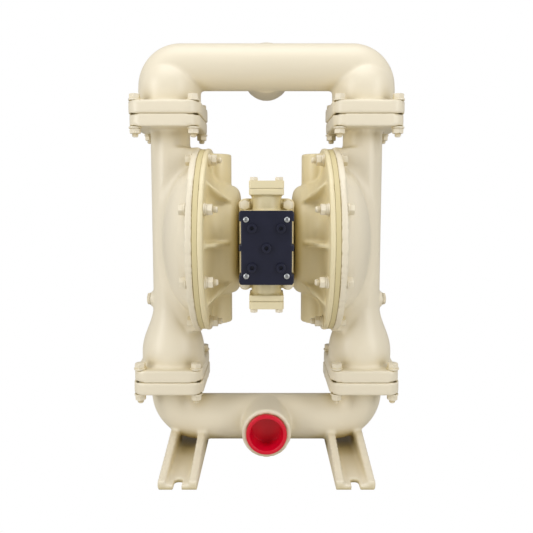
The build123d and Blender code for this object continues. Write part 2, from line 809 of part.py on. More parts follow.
def suction_run(radius, top_z, mode):
    """Half the suction pipe with its elbow and leg, and its mirror image, at one radius."""
    with BuildPart(mode=Mode.PRIVATE) as run:
        with BuildSketch(Plane.YZ):
            with Locations((0, suction_pipe_z)):
                Circle(radius)
        extrude(amount=bend_x)
        with BuildSketch(Plane.YZ.offset(bend_x)):
            with Locations((0, suction_pipe_z)):
                Circle(radius)
        revolve(axis=suction_bend_axis, revolution_arc=90)
        with BuildSketch(Plane.XY.offset(bend_top_z)):
            with Locations((riser_x, 0)):
                Circle(radius)
        extrude(amount=top_z - bend_top_z)
        mirror(about=Plane.YZ)
    add(run.part, mode=mode)


with BuildPart() as suction_manifold:
    suction_run(suction_pipe_r, leg_top_z + 1, Mode.ADD)
    # Front port boss
    with BuildSketch(front_plane(0)):
        with Locations((0, suction_pipe_z - rod_height)):
            Circle(suction_boss_r)
    extrude(amount=-suction_boss_y)
    # Feet: a plate with two rails that climb towards the pipe
    for side in (1, -1):
        with BuildSketch(Plane.XY):
            with Locations((side * foot_x, 0)):
                Rectangle(foot_width, foot_length)
        extrude(amount=foot_plate)
        for rail in (1, -1):
            rail_x = side * foot_x + rail * (foot_width - foot_rail) / 2
            with BuildSketch(Plane.YZ.offset(rail_x)):
                with BuildLine():
                    Polyline(
                        (-foot_length / 2, 0),
                        (-foot_length / 2, foot_rail_low),
                        (-foot_rail_flat / 2, foot_rail_high),
                        (foot_rail_flat / 2, foot_rail_high),
                        (foot_length / 2, foot_rail_low),
                        (foot_length / 2, 0),
                        close=True,
                    )
                make_face()
            extrude(amount=foot_rail / 2, both=True)
    # Flanges
    with BuildSketch(Plane.XY.offset(leg_top_z)):
        with Locations((riser_x, 0), (-riser_x, 0)):
            RectangleRounded(manifold_flange_width, manifold_flange_depth, flange_corner)
    extrude(amount=manifold_flange_thick)
    # Bores
    suction_run(suction_pipe_r - pipe_wall, lower_joint_z, Mode.SUBTRACT)
    port_bore(suction_pipe_z, suction_boss_y)
    # Bolt holes and the open foot slots
    with BuildSketch(Plane.XY.offset(leg_top_z)):
        with Locations((riser_x, 0), (-riser_x, 0)):
            with GridLocations(flange_bolt_dx, flange_bolt_dy, 2, 2):
                Circle(bolt_hole_r)
    extrude(amount=manifold_flange_thick, mode=Mode.SUBTRACT)
    with BuildSketch(Plane.XY):
        for side in (1, -1):
            for end in (1, -1):
                with Locations((side * foot_x, end * foot_length / 2)):
                    SlotOverall(2 * foot_slot_depth, foot_slot_width, rotation=90)
    extrude(amount=foot_plate, mode=Mode.SUBTRACT)
finish(suction_manifold, "suction_manifold")

# ================================================================ discharge manifold
elbow_x = riser_x + cage_r - discharge_pipe_r
elbow_start_x = elbow_x - discharge_bend_r
elbow_end_z = discharge_pipe_z - discharge_bend_r
discharge_bend_axis = Axis((elbow_start_x, 0, elbow_end_z), (0, 1, 0))


def discharge_run(radius, mode):
    """Half the discharge pipe with its elbow, and its mirror image, at one radius."""
    with BuildPart(mode=Mode.PRIVATE) as run:
        with BuildSketch(Plane.YZ):
            with Locations((0, discharge_pipe_z)):
                Circle(radius)
        extrude(amount=elbow_start_x)
        # The bend is tighter than the pipe's radius, so its section stops at the bend's own axis
        with BuildSketch(Plane.YZ.offset(elbow_start_x)):
            with Locations((0, discharge_pipe_z)):
                Circle(radius)
            with Locations((0, elbow_end_z)):
                Rectangle(4 * radius, 4 * radius, align=(Align.CENTER, Align.MIN), mode=Mode.INTERSECT)
        revolve(axis=discharge_bend_axis, revolution_arc=90)
        mirror(about=Plane.YZ)
    add(run.part, mode=mode)


with BuildPart() as discharge_manifold:
    discharge_run(discharge_pipe_r, Mode.ADD)
    # Domed ball cages
    for side in (1, -1):
        with BuildSketch(Plane(origin=(side * riser_x, 0, 0), x_dir=(1, 0, 0), z_dir=(0, -1, 0))):
            with BuildLine():
                Line((0, upper_joint_z + 2), (cage_r, upper_joint_z + 2))
                Line((cage_r, upper_joint_z + 2), (cage_r, cage_dome_z))
                CenterArc((0, cage_dome_z), cage_r, 0, 90)
                Line((0, cage_dome_z + cage_r), (0, upper_joint_z + 2))
            make_face()
        revolve(axis=Axis((side * riser_x, 0, 0), (0, 0, 1)))
    # Flanges
    with BuildSketch(Plane.XY.offset(upper_joint_z)):
        with Locations((riser_x, 0), (-riser_x, 0)):
            RectangleRounded(manifold_flange_width, manifold_flange_depth, flange_corner)
    extrude(amount=manifold_flange_thick)
    # Rear port boss
    with BuildSketch(front_plane(0)):
        with Locations((0, discharge_pipe_z - rod_height)):
            Circle(discharge_boss_r)
    extrude(amount=-discharge_boss_y)
    # Small casting nub on top of the pipe
    with BuildSketch(Plane.XY.offset(discharge_pipe_z)):
        Circle(4.8)
    extrude(amount=discharge_pipe_r + 1.5)
    # Bores
    discharge_run(discharge_pipe_r - pipe_wall, Mode.SUBTRACT)
    for side in (1, -1):
        cage_bore_r = cage_r - cage_wall
        with BuildSketch(Plane(origin=(side * riser_x, 0, 0), x_dir=(1, 0, 0), z_dir=(0, -1, 0))):
            with BuildLine():
                Polyline(
                    (0, upper_joint_z),
                    (seat_outer_r, upper_joint_z),
                    (seat_outer_r, upper_joint_z + seat_high),
                    (cage_bore_r, upper_joint_z + seat_high),
                    (cage_bore_r, cage_dome_z),
                )
                CenterArc((0, cage_dome_z), cage_bore_r, 0, 90)
                Line((0, cage_dome_z + cage_bore_r), (0, upper_joint_z))
            make_face()
        revolve(axis=Axis((side * riser_x, 0, 0), (0, 0, 1)), mode=Mode.SUBTRACT)
    port_bore(discharge_pipe_z, discharge_boss_y)
    with BuildSketch(Plane.XY.offset(upper_joint_z)):
        with Locations((riser_x, 0), (-riser_x, 0)):
            with GridLocations(flange_bolt_dx, flange_bolt_dy, 2, 2):
                Circle(bolt_hole_r)
    extrude(amount=manifold_flange_thick, mode=Mode.SUBTRACT)
finish(discharge_manifold, "discharge_manifold")

# ================================================================ balls, seats and O-rings
seat_slope = degrees(asin(seat_contact_r / ball_r))
seat_lip = 1.6
seat_lip_high = seat_lip * tan(radians(seat_slope))
seat_body_high = seat_high - seat_clearance
ball_over_seat = ball_r * cos(radians(seat_slope)) - seat_lip_high + seat_gap
oring_groove_r = 34.0
for level, joint_z in (("inlet", lower_joint_z), ("outlet", upper_joint_z)):
    seat_plane = Plane(origin=(riser_x, 0, joint_z), x_dir=(1, 0, 0), z_dir=(0, -1, 0))
    with BuildPart() as seat_right:
        with BuildSketch(seat_plane):
            with BuildLine():
                Polyline(
                    (seat_contact_r - seat_lip, 0),
                    (oring_groove_r - oring_r - 0.2, 0),
                    (oring_groove_r - oring_r - 0.2, 2 * oring_r),
                    (oring_groove_r + oring_r + 0.2, 2 * oring_r),
                    (oring_groove_r + oring_r + 0.2, 0),
                    (seat_outer_r - seat_clearance, 0),
                    (seat_outer_r - seat_clearance, seat_body_high),
                    (seat_contact_r + seat_lip, seat_body_high),
                    (seat_contact_r - seat_lip, seat_body_high - 2 * seat_lip_high),
                    close=True,
                )
            make_face()
        revolve(axis=riser_axis)
    pair(seat_right, f"{level}_seat")
    with BuildPart() as ball_right:
        with Locations((riser_x, 0, joint_z + seat_body_high + ball_over_seat)):
            Sphere(ball_r)
    pair(ball_right, f"{level}_ball")

with BuildPart() as seat_orings:
    for joint_z in (lower_joint_z, upper_joint_z):
        for side in (1, -1):
            with Locations((side * riser_x, 0, joint_z + oring_r)):
                Torus(oring_groove_r, oring_r)
finish(seat_orings, "seat_orings")

# ================================================================ plugs
with BuildPart() as riser_plug_right:
    with BuildSketch(Plane.YZ.offset(riser_boss_x)):
        with Locations((0, riser_plug_z)):
            RegularPolygon(8, 6, major_radius=False)
    extrude(amount=5)
    with BuildSketch(Plane.YZ.offset(riser_boss_x)):
        with Locations((0, riser_plug_z)):
            Circle(riser_boss_r / 2)
    extrude(amount=-9)
pair(riser_plug_right, "riser_plug")

plug_face_y = suction_boss_y - plug_rim_thick
with BuildPart() as suction_port_plug:
    with BuildSketch(front_plane(suction_boss_y)):
        with Locations((0, suction_pipe_z - rod_height)):
            Circle(plug_rim_r)
    extrude(amount=plug_rim_thick)
    with BuildSketch(front_plane(suction_boss_y)):
        with Locations((0, suction_pipe_z - rod_height)):
            Circle(port_thread_r - plug_clearance)
    extrude(amount=-(plug_depth + plug_floor - plug_rim_thick))
    with BuildSketch(front_plane(plug_face_y)):
        with Locations((0, suction_pipe_z - rod_height)):
            Circle(plug_cup_r)
    extrude(amount=-plug_depth, mode=Mode.SUBTRACT)
finish(suction_port_plug, "suction_port_plug")


# ================================================================ flange and chamber fasteners
for level, joint_z, head_thick, nut_thick in (
    ("upper", upper_joint_z, manifold_flange_thick, cap_flange_thick),
    ("lower", lower_joint_z, cap_flange_thick, manifold_flange_thick),
):
    head_z = joint_z + head_thick
    nut_z = joint_z - nut_thick
    flange_places = [
        (side * riser_x + dx * flange_bolt_dx / 2, dy * flange_bolt_dy / 2)
        for side in (1, -1)
        for dx in (1, -1)
        for dy in (1, -1)
    ]
    with BuildPart() as washers:
        with BuildSketch(Plane.XY.offset(head_z)):
            with Locations(*flange_places):
                Circle(washer_r)
                Circle(bolt_hole_r, mode=Mode.SUBTRACT)
        extrude(amount=washer_thick)
        with BuildSketch(Plane.XY.offset(nut_z)):
            with Locations(*flange_places):
                Circle(washer_r)
                Circle(bolt_hole_r, mode=Mode.SUBTRACT)
        extrude(amount=-washer_thick)
    finish(washers, f"{level}_flange_washers")
    with BuildPart() as bolts:
        with BuildSketch(Plane.XY.offset(head_z + washer_thick)):
            with Locations(*flange_places):
                RegularPolygon(bolt_head_af / 2, 6, major_radius=False)
        extrude(amount=bolt_head_high)
        with BuildSketch(Plane.XY.offset(head_z + washer_thick)):
            with Locations(*flange_places):
                Circle(bolt_r)
        extrude(amount=-(head_thick + nut_thick + 2 * washer_thick + nut_high + bolt_end))
    finish(bolts, f"{level}_flange_bolts")
    with BuildPart() as nuts:
        with BuildSketch(Plane.XY.offset(nut_z - washer_thick)):
            with Locations(*flange_places):
                RegularPolygon(bolt_head_af / 2, 6, major_radius=False)
                Circle(bolt_r, mode=Mode.SUBTRACT)
        extrude(amount=-nut_high)
    finish(nuts, f"{level}_flange_nuts")

with BuildPart() as chamber_washers_right:
    with BuildSketch(side_plane(fluid_flange_back_x)):
        with bolt_places():
            Circle(washer_r)
            Circle(bolt_hole_r, mode=Mode.SUBTRACT)
    extrude(amount=washer_thick)
    with BuildSketch(side_plane(air_flange_x)):
        with bolt_places():
            Circle(washer_r)
            Circle(bolt_hole_r, mode=Mode.SUBTRACT)
    extrude(amount=-washer_thick)
pair(chamber_washers_right, "chamber_washers")

with BuildPart() as chamber_bolts_right:
    with BuildSketch(side_plane(fluid_flange_back_x + washer_thick)):
        with bolt_places():
            RegularPolygon(bolt_head_af / 2, 6, major_radius=False)
    extrude(amount=bolt_head_high)
    with BuildSketch(side_plane(fluid_flange_back_x + washer_thick)):
        with bolt_places():
            Circle(bolt_r)
    extrude(amount=air_flange_x - fluid_flange_back_x - 2 * washer_thick - nut_high - bolt_end)
pair(chamber_bolts_right, "chamber_bolts")

with BuildPart() as chamber_nuts_right:
    with BuildSketch(side_plane(air_flange_x - washer_thick)):
        with bolt_places():
            RegularPolygon(bolt_head_af / 2, 6, major_radius=False)
            Circle(bolt_r, mode=Mode.SUBTRACT)
    extrude(amount=-nut_high)
pair(chamber_nuts_right, "chamber_nuts")
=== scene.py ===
"""Finish of an air operated diaphragm pump: painted castings, painted fasteners, a navy valve cover
and a red port plug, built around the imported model.

Laid out as an add-on: property groups hold the sizes and colours, one operator makes each piece or
group of like pieces, one panel lists them, and main() calls them in order.
"""

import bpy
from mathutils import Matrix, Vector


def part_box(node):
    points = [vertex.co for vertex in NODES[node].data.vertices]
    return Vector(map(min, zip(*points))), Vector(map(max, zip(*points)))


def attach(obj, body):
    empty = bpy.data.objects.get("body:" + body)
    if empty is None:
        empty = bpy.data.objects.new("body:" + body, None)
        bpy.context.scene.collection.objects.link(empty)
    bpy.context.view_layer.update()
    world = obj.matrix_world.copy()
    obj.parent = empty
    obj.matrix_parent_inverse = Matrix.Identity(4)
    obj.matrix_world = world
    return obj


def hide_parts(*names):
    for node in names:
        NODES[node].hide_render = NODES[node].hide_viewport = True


bl_info = {
    "name": "Diaphragm Pump Finish",
    "version": (1, 0, 0),
    "blender": (4, 5, 0),
    "location": "View3D > Sidebar > Pump",
    "description": "Painted castings, fasteners, valve cover and port plug of a diaphragm pump",
    "category": "Object",
}

from math import cos, pi, radians, sin, tau

import bmesh
import bpy
from bpy.props import FloatProperty, FloatVectorProperty, IntProperty, PointerProperty, StringProperty
from mathutils import Matrix, Vector

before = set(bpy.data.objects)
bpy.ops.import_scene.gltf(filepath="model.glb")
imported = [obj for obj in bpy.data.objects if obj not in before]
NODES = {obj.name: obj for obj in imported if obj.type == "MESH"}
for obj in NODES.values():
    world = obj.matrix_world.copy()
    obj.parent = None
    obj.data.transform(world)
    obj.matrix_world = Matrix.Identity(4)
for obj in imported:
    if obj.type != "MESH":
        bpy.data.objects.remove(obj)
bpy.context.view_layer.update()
MM = 0.001
ROD_HEIGHT = 0.337  # the rod's axis above the floor, and the middle of the air section
INNER_CORNER = radians(14)  # inner corners of castings sharper than this get a fillet
HARDWARE_EDGE = radians(35)  # edges sharper than this stay sharp on small turned pieces


# ---- helpers
def linear(code):
    """An sRGB hex colour as the linear RGBA that sockets take."""
    channels = [int(code[i : i + 2], 16) / 255 for i in (1, 3, 5)]
    return [c / 12.92 if c <= 0.04045 else ((c + 0.055) / 1.055) ** 2.4 for c in channels] + [1.0]


def add_node(tree, kind, inputs=None, **settings):
    """Adds a node, sets its attributes, and sets or links its input sockets."""
    made = tree.nodes.new(kind)
    for name, value in settings.items():
        setattr(made, name, value)
    for socket, value in (inputs or {}).items():
        if isinstance(value, bpy.types.NodeSocket):
            tree.links.new(value, made.inputs[socket])
        else:
            made.inputs[socket].default_value = value
    return made


def new_material(name):
    """An empty node material with its output, ready for a shader."""
    material = bpy.data.materials.new(name)
    material.use_nodes = True
    material.node_tree.nodes.clear()
    return material, material.node_tree


def per_metre(millimetres):
    """Noise scale whose features are about this many millimetres across."""
    return 1 / (millimetres * MM)


def dress(obj, material):
    """Gives an object one material on every face."""
    obj.data.materials.clear()
    obj.data.materials.append(material)
    obj.data.polygons.foreach_set("material_index", [0] * len(obj.data.polygons))


def merged_copy(node):
    """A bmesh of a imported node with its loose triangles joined."""
    bm = bmesh.new()
    bm.from_mesh(NODES[node].data)
    bmesh.ops.remove_doubles(bm, verts=bm.verts, dist=2e-6)
    return bm


def to_object(bm, name, material, smooth=True):
    """Turns a bmesh into a scene object at the origin with one material."""
    mesh = bpy.data.meshes.new(name)
    bm.to_mesh(mesh)
    bm.free()
    obj = bpy.data.objects.new(name, mesh)
    bpy.context.scene.collection.objects.link(obj)
    if material:
        mesh.materials.append(material)
    if smooth:
        mesh.shade_smooth()
    return obj


def apply_modifiers(obj):
    """Replaces an object's mesh with its evaluated one and drops the modifiers."""
    graph = bpy.context.evaluated_depsgraph_get()
    finished = bpy.data.meshes.new_from_object(obj.evaluated_get(graph))
    obj.modifiers.clear()
    obj.data = finished


def softened(obj, width, segments):
    """Rounds the sharp edges of a hard piece and keeps its flats flat."""
    bevel = obj.modifiers.new("Edges", "BEVEL")
    bevel.width = width
    bevel.segments = segments
    bevel.limit_method = "ANGLE"
    bevel.angle_limit = radians(30)
    bevel.miter_outer = "MITER_ARC"
    normals = obj.modifiers.new("Flats", "WEIGHTED_NORMAL")
    normals.keep_sharp = True
    apply_modifiers(obj)
    return obj


def filleted(obj, sharp, rings, passes, inside=None):
    """Fills an object's inner corners with a soft fillet by relaxing only the vertices near them."""
    bm = bmesh.new()
    bm.from_mesh(obj.data)
    chosen = {
        vert
        for edge in bm.edges
        if edge.calc_face_angle_signed(0) < -sharp
        for vert in edge.verts
        if not inside or inside(vert.co)
    }
    fringe = chosen
    for _ in range(rings):
        fringe = {link.other_vert(vert) for vert in fringe for link in vert.link_edges} - chosen
        chosen |= fringe
    verts = list(chosen)
    for _ in range(passes):
        bmesh.ops.smooth_vert(
            bm, verts=verts, factor=0.5, use_axis_x=True, use_axis_y=True, use_axis_z=True
        )
    bm.to_mesh(obj.data)
    bm.free()


def cast_skin(node, name, material, voxel, passes):
    """A casting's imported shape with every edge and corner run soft, as sand casting leaves them."""
    obj = to_object(merged_copy(node), name, material)
    soften_casting(obj, material, voxel, passes)
    return obj


def soften_casting(obj, material, voxel, passes):
    """Fuses an object's forms under one skin and runs its edges soft."""
    remesh = obj.modifiers.new("Skin", "REMESH")
    remesh.mode = "VOXEL"
    remesh.voxel_size = voxel
    smooth = obj.modifiers.new("Flow", "SMOOTH")
    smooth.factor = 0.5
    smooth.iterations = passes
    apply_modifiers(obj)
    obj.data.shade_smooth()
    dress(obj, material)


def solids_of(node):
    """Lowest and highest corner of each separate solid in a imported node."""
    bm = merged_copy(node)
    waiting = set(bm.verts)
    boxes = []
    while waiting:
        edge = [waiting.pop()]
        island = list(edge)
        while edge:
            for link in edge.pop().link_edges:
                for vert in link.verts:
                    if vert in waiting:
                        waiting.remove(vert)
                        edge.append(vert)
                        island.append(vert)
        low = Vector([min(v.co[i] for v in island) for i in range(3)])
        high = Vector([max(v.co[i] for v in island) for i in range(3)])
        boxes.append((low, high))
    bm.free()
    return boxes


def turned(profile, steps, bm=None):
    """Spins a profile of (radius, height) points about Z into a closed shape."""
    bm = bm or bmesh.new()
    verts = [bm.verts.new((radius, 0, height)) for radius, height in profile]
    edges = [bm.edges.new(pair) for pair in zip(verts, verts[1:])]
    bmesh.ops.spin(
        bm, geom=verts + edges, axis=(0, 0, 1), cent=(0, 0, 0), angle=tau, steps=steps, use_merge=True
    )
    bmesh.ops.remove_doubles(bm, verts=bm.verts, dist=1e-6)
    bmesh.ops.recalc_face_normals(bm, faces=bm.faces)
    return bm


def pushed(bm, vec):
    """Carries the flat faces of a bmesh along a vector into a closed shape."""
    grown = bmesh.ops.extrude_face_region(bm, geom=bm.faces[:])
    ahead = [item for item in grown["geom"] if isinstance(item, bmesh.types.BMVert)]
    bmesh.ops.translate(bm, verts=ahead, vec=vec)
    bmesh.ops.recalc_face_normals(bm, faces=bm.faces)
    return bm


def prism(outline, lift):
    """A closed prism from an outline of points carried along a vector."""
    bm = bmesh.new()
    bm.faces.new([bm.verts.new(point) for point in outline])
    return pushed(bm, lift)


def hexagon(across_flats, low, high):
    """A plain hexagon prism from one height to another."""
    bm = bmesh.new()
    bmesh.ops.create_circle(bm, cap_ends=True, segments=6, radius=across_flats / 2 / cos(pi / 6))
    bmesh.ops.translate(bm, verts=bm.verts, vec=(0, 0, low))
    return pushed(bm, (0, 0, high - low))


def combined(first, second, operation):
    """The mesh left by a Boolean of two closed bmeshes."""
    parts = [to_object(bm, "trial", None) for bm in (first, second)]
    both = parts[0].modifiers.new("Both", "BOOLEAN")
    both.operation = operation
    both.object = parts[1]
    both.solver = "EXACT"
    apply_modifiers(parts[0])
    shared = parts[0].data
    for part in parts:
        bpy.data.objects.remove(part)
    return shared


def cut_part(first, second):
    """The mesh of one closed bmesh with another taken out."""
    return combined(first, second, "DIFFERENCE")


def aimed(place, direction):
    """Matrix that stands local +Z along a direction at a place."""
    turn = Vector(direction).to_track_quat("Z", "Y").to_matrix().to_4x4()
    return Matrix.Translation(place) @ turn


def copies(template, places, bm=None):
    """One bmesh with a copy of a mesh at each matrix."""
    bm = bm or bmesh.new()
    for place in places:
        known = len(bm.verts)
        bm.from_mesh(template)
        bm.verts.ensure_lookup_table()
        bmesh.ops.transform(bm, matrix=place, verts=bm.verts[known:])
    return bm


def both_sides(*stems):
    """Names of the left and the right node of each stem."""
    return [f"{stem}_{side}" for stem in stems for side in ("left", "right")]


def settle(obj, slot, *nodes, body="pump"):
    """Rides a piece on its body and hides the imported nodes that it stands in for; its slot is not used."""
    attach(obj, body)
    if nodes:
        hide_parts(*nodes)


# ---- finishes
def principled(tree, inputs):
    """Closes a material with a Principled shader."""
    shader = add_node(tree, "ShaderNodeBsdfPrincipled", inputs)
    add_node(tree, "ShaderNodeOutputMaterial", {"Surface": shader.outputs["BSDF"]})


def noise(tree, place, millimetres, detail):
    """Factor of a noise with features of a real size."""
    made = add_node(
        tree, "ShaderNodeTexNoise", {"Vector": place, "Scale": per_metre(millimetres), "Detail": detail}
    )
    return made.outputs["Fac"]


def relief(tree, height, strength, depth, normal=None):
    """Normal of a bump so many millimetres deep."""
    inputs = {"Height": height, "Strength": strength, "Distance": depth * MM}
    if normal:
        inputs["Normal"] = normal
    return add_node(tree, "ShaderNodeBump", inputs).outputs["Normal"]


def between(tree, factor, low, high, start=0.0, end=1.0):
    """Runs from low to high as a factor goes from start to end."""
    ends = {"From Min": start, "From Max": end, "To Min": low, "To Max": high}
    return add_node(tree, "ShaderNodeMapRange", {"Value": factor, **ends}).outputs["Result"]


def mixed(tree, factor, first, second):
    """Colour between an sRGB code or a colour socket and another sRGB code."""
    start = linear(first) if isinstance(first, str) else first
    ends = {"Factor": factor, "A": start, "B": linear(second)}
    return add_node(tree, "ShaderNodeMix", ends, data_type="RGBA").outputs["Result"]


def enamel(name, code, shade_code, skin=0.5, peel=0.1):
    """Satin cream enamel over a casting: broad soft highlights, a faint orange peel, the low waves of
    the cast skin under it and a darker olive tone painted into the corners as shade."""
    material, tree = new_material(name)
    place = add_node(tree, "ShaderNodeTexCoord").outputs["Object"]
    # Painted shade: where ambient occlusion finds the surface hidden within 35 mm, the base colour is mixed
    # towards the darker olive shade colour
    open_sky = add_node(tree, "ShaderNodeAmbientOcclusion", {"Distance": 35 * MM}, samples=8)
    shaded = between(tree, open_sky.outputs["AO"], 0.8, 0.0, 0.15, 0.85)
    waves = noise(tree, place, 14, 3.0)
    normal = relief(tree, noise(tree, place, 2.4, 1.0), 0.12, peel, relief(tree, waves, 0.2, skin))
    principled(
        tree,
        {
            "Base Color": mixed(tree, shaded, code, shade_code),
            "Roughness": between(tree, waves, 0.33, 0.43),
            "Normal": normal,
            "IOR": 1.5,
        },
    )
    return material


def moulded_plastic(name, code, worn_code, grain, depth, gloss):
    """Injection-moulded plastic: an even colour, a fine spark texture and cloudy gloss."""
    material, tree = new_material(name)
    place = add_node(tree, "ShaderNodeTexCoord").outputs["Object"]
    clouds = noise(tree, place, 16, 4.0)
    principled(
        tree,
        {
            "Base Color": mixed(tree, clouds, code, worn_code),
            "Roughness": between(tree, clouds, gloss, gloss + 0.14),
            "Normal": relief(tree, noise(tree, place, grain, 2.0), 0.35, depth),
            "IOR": 1.5,
        },
    )
    return material


def machined_metal(name, code, stain_code, rough, axis):
    """Metal off the lathe or the grinder: low rings along an axis and a faint cloudy stain."""
    material, tree = new_material(name)
    place = add_node(tree, "ShaderNodeTexCoord").outputs["Object"]
    rings = add_node(
        tree,
        "ShaderNodeTexWave",
        # The wave node turns its phase 20 radians per unit, so the rings are 1.2 x 2 pi = 7.5 mm apart
        {"Vector": place, "Scale": per_metre(1.2) / 20, "Distortion": 1.5, "Detail": 2.0},
        bands_direction=axis,
    )
    stain = noise(tree, place, 20, 3.0)
    principled(
        tree,
        {
            "Base Color": mixed(tree, stain, code, stain_code),
            "Metallic": 1.0,
            "Roughness": between(tree, stain, rough - 0.06, rough + 0.1),
            "Normal": relief(tree, rings.outputs["Fac"], 0.2, 0.05),
        },
    )
    return material


def moulded_rubber(name, code, bloom_code, rim_code=None):
    """Moulded rubber with a pale dusty bloom; past 137 mm from the rod its rim carries overspray."""
    material, tree = new_material(name)
    place = add_node(tree, "ShaderNodeTexCoord").outputs["Object"]
    dust = noise(tree, place, 12, 5.0)
    colour = mixed(tree, dust, code, bloom_code)
    if rim_code:
        axis = add_node(
            tree, "ShaderNodeVectorMath", {0: place, 1: (0, 0, ROD_HEIGHT)}, operation="SUBTRACT"
        )
        flat = add_node(
            tree, "ShaderNodeVectorMath", {0: axis.outputs["Vector"], 1: (0, 1, 1)}, operation="MULTIPLY"
        )
        reach = add_node(tree, "ShaderNodeVectorMath", {0: flat.outputs["Vector"]}, operation="LENGTH")
        edge = between(tree, reach.outputs["Value"], 0.0, 1.0, 137 * MM, 138 * MM)
        colour = mixed(tree, edge, colour, rim_code)
    principled(
        tree,
        {
            "Base Color": colour,
            "Roughness": between(tree, dust, 0.5, 0.65),
            "Normal": relief(tree, noise(tree, place, 1.2, 2.0), 0.2, 0.1),
            "IOR": 1.52,
        },
    )
    return material


# ---- settings
class PumpPaintSettings(bpy.types.PropertyGroup):
    """Colours of the pump, sRGB"""

    cream: StringProperty(name="Cream", description="Enamel on the castings", default="#ECE2CB")
    # Painted shade: the darker olive colour that ambient occlusion mixes into corners and hollows of the
    # enamel
    corner_shade: StringProperty(name="Corners", description="Enamel gathered in the corners", default="#C2AE68")
    air_cream: StringProperty(name="Air section", description="Enamel on the air section", default="#ECDFB8")
    navy: StringProperty(name="Navy", description="Plastic of the valve cover", default="#0D1026")
    red: StringProperty(name="Red", description="Plastic of the port plug", default="#E2002C")


class PumpCastingSettings(bpy.types.PropertyGroup):
    """How soft the castings are"""

    cap_grain: FloatProperty(
        name="Cap grain", description="Skin size of the fluid caps", default=0.0021, unit="LENGTH"
    )
    pipe_grain: FloatProperty(
        name="Pipe grain", description="Skin size of the manifolds", default=0.0021, unit="LENGTH"
    )
    air_grain: FloatProperty(
        name="Air grain", description="Skin size of the air section", default=0.0014, unit="LENGTH"
    )
    passes: IntProperty(name="Passes", description="Smoothing passes over the cast skin", default=3, min=0)


class PumpFastenerSettings(bpy.types.PropertyGroup):
    """Sizes of the bolts, nuts and washers"""

    head_flats: FloatProperty(name="Head flats", description="Across flats", default=0.0143, unit="LENGTH")
    head_high: FloatProperty(name="Head height", description="Bolt head", default=0.0072, unit="LENGTH")
    nut_high: FloatProperty(name="Nut height", description="Nut", default=0.0074, unit="LENGTH")
    shank: FloatProperty(name="Shank", description="Radius of the thread", default=0.00475, unit="LENGTH")
    pitch: FloatProperty(name="Pitch", description="Thread pitch", default=0.00159, unit="LENGTH")
    washer: FloatProperty(name="Washer", description="Radius of a washer", default=0.0092, unit="LENGTH")
    washer_thick: FloatProperty(name="Washer thickness", description="Plain", default=0.0024, unit="LENGTH")
    lock: FloatProperty(name="Lock washer", description="Radius", default=0.008, unit="LENGTH")
    lock_thick: FloatProperty(name="Lock thickness", description="Split", default=0.0026, unit="LENGTH")
    flange_end: FloatProperty(
        name="Flange end", description="Thread past the nut", default=0.005, unit="LENGTH"
    )
    chamber_end: FloatProperty(
        name="Chamber end", description="Thread past the nut", default=0.0068, unit="LENGTH"
    )


class PumpCoverSettings(bpy.types.PropertyGroup):
    """Sizes of the valve cover, its screws and studs"""

    width: FloatProperty(name="Width", description="Of the cover", default=0.074, unit="LENGTH")
    high: FloatProperty(name="Height", description="Of the cover", default=0.0994, unit="LENGTH")
    middle: FloatProperty(name="Middle", description="Height above the floor", default=0.3355, unit="LENGTH")
    relief: FloatProperty(
        name="Relief", description="Depth of the side recesses", default=0.0026, unit="LENGTH"
    )
    lug: FloatProperty(name="Lug", description="Height of the corner lugs", default=0.014, unit="LENGTH")
    middle_lug: FloatProperty(name="Middle lug", description="Height", default=0.009, unit="LENGTH")
    corner: FloatProperty(name="Corner", description="Corner radius", default=0.006, unit="LENGTH")
    edge: FloatProperty(name="Edge", description="Rounding of the front edge", default=0.0018, unit="LENGTH")
    screw: FloatProperty(name="Screw", description="Radius of a screw head", default=0.0038, unit="LENGTH")
    screw_pitch: FloatVectorProperty(
        name="Screw pitch", description="Across and up", default=(0.0545, 0.076), size=2, unit="LENGTH"
    )
    stud: FloatProperty(name="Stud", description="Radius of a stud head", default=0.0062, unit="LENGTH")
    stud_pitch: FloatVectorProperty(
        name="Stud pitch", description="Across and up", default=(0.0388, 0.053), size=2, unit="LENGTH"
    )


class PumpPlugSettings(bpy.types.PropertyGroup):
    """Sizes of the red port plug and its thread"""

    rim: FloatProperty(name="Rim", description="Radius of the rim", default=0.0305, unit="LENGTH")
    rim_thick: FloatProperty(name="Rim thickness", description="Rim", default=0.006, unit="LENGTH")
    cup: FloatProperty(name="Cup", description="Radius of the cup", default=0.0248, unit="LENGTH")
    depth: FloatProperty(name="Depth", description="Depth of the cup", default=0.030, unit="LENGTH")
    thread_pitch: FloatProperty(name="Pitch", description="Pipe thread pitch", default=0.00221, unit="LENGTH")


# ---- hardware shapes
def hexagon_piece(across_flats, high, both_ends=False):
    """Mesh of a hexagon standing on height 0 with its corners turned off at 30 degrees."""
    corner = across_flats / 2 / cos(pi / 6)
    flat = across_flats * 0.475
    wide = corner + 0.0005
    fall = (wide - flat) * 0.577
    low = [(0, 0), (flat, 0), (wide, fall)] if both_ends else [(0, 0), (wide, 0)]
    barrel = turned(low + [(wide, high - fall), (flat, high), (0, high)], 48)
    return combined(hexagon(across_flats, 0, high), barrel, "INTERSECT")


def mesh_of(bm):
    """Hands a bmesh over as mesh data."""
    mesh = bpy.data.meshes.new("template")
    bm.to_mesh(mesh)
    bm.free()
    return mesh


def washer(outer, inner, thick, edge=0.0003):
    """Mesh of a flat ring standing on height 0 with its rims rounded."""
    profile = [(inner, 0), (outer - edge, 0), (outer, edge), (outer, thick - edge)]
    profile += [(outer - edge, thick), (inner + edge, thick), (inner, thick - edge), (inner, 0)]
    return mesh_of(turned(profile, 40))


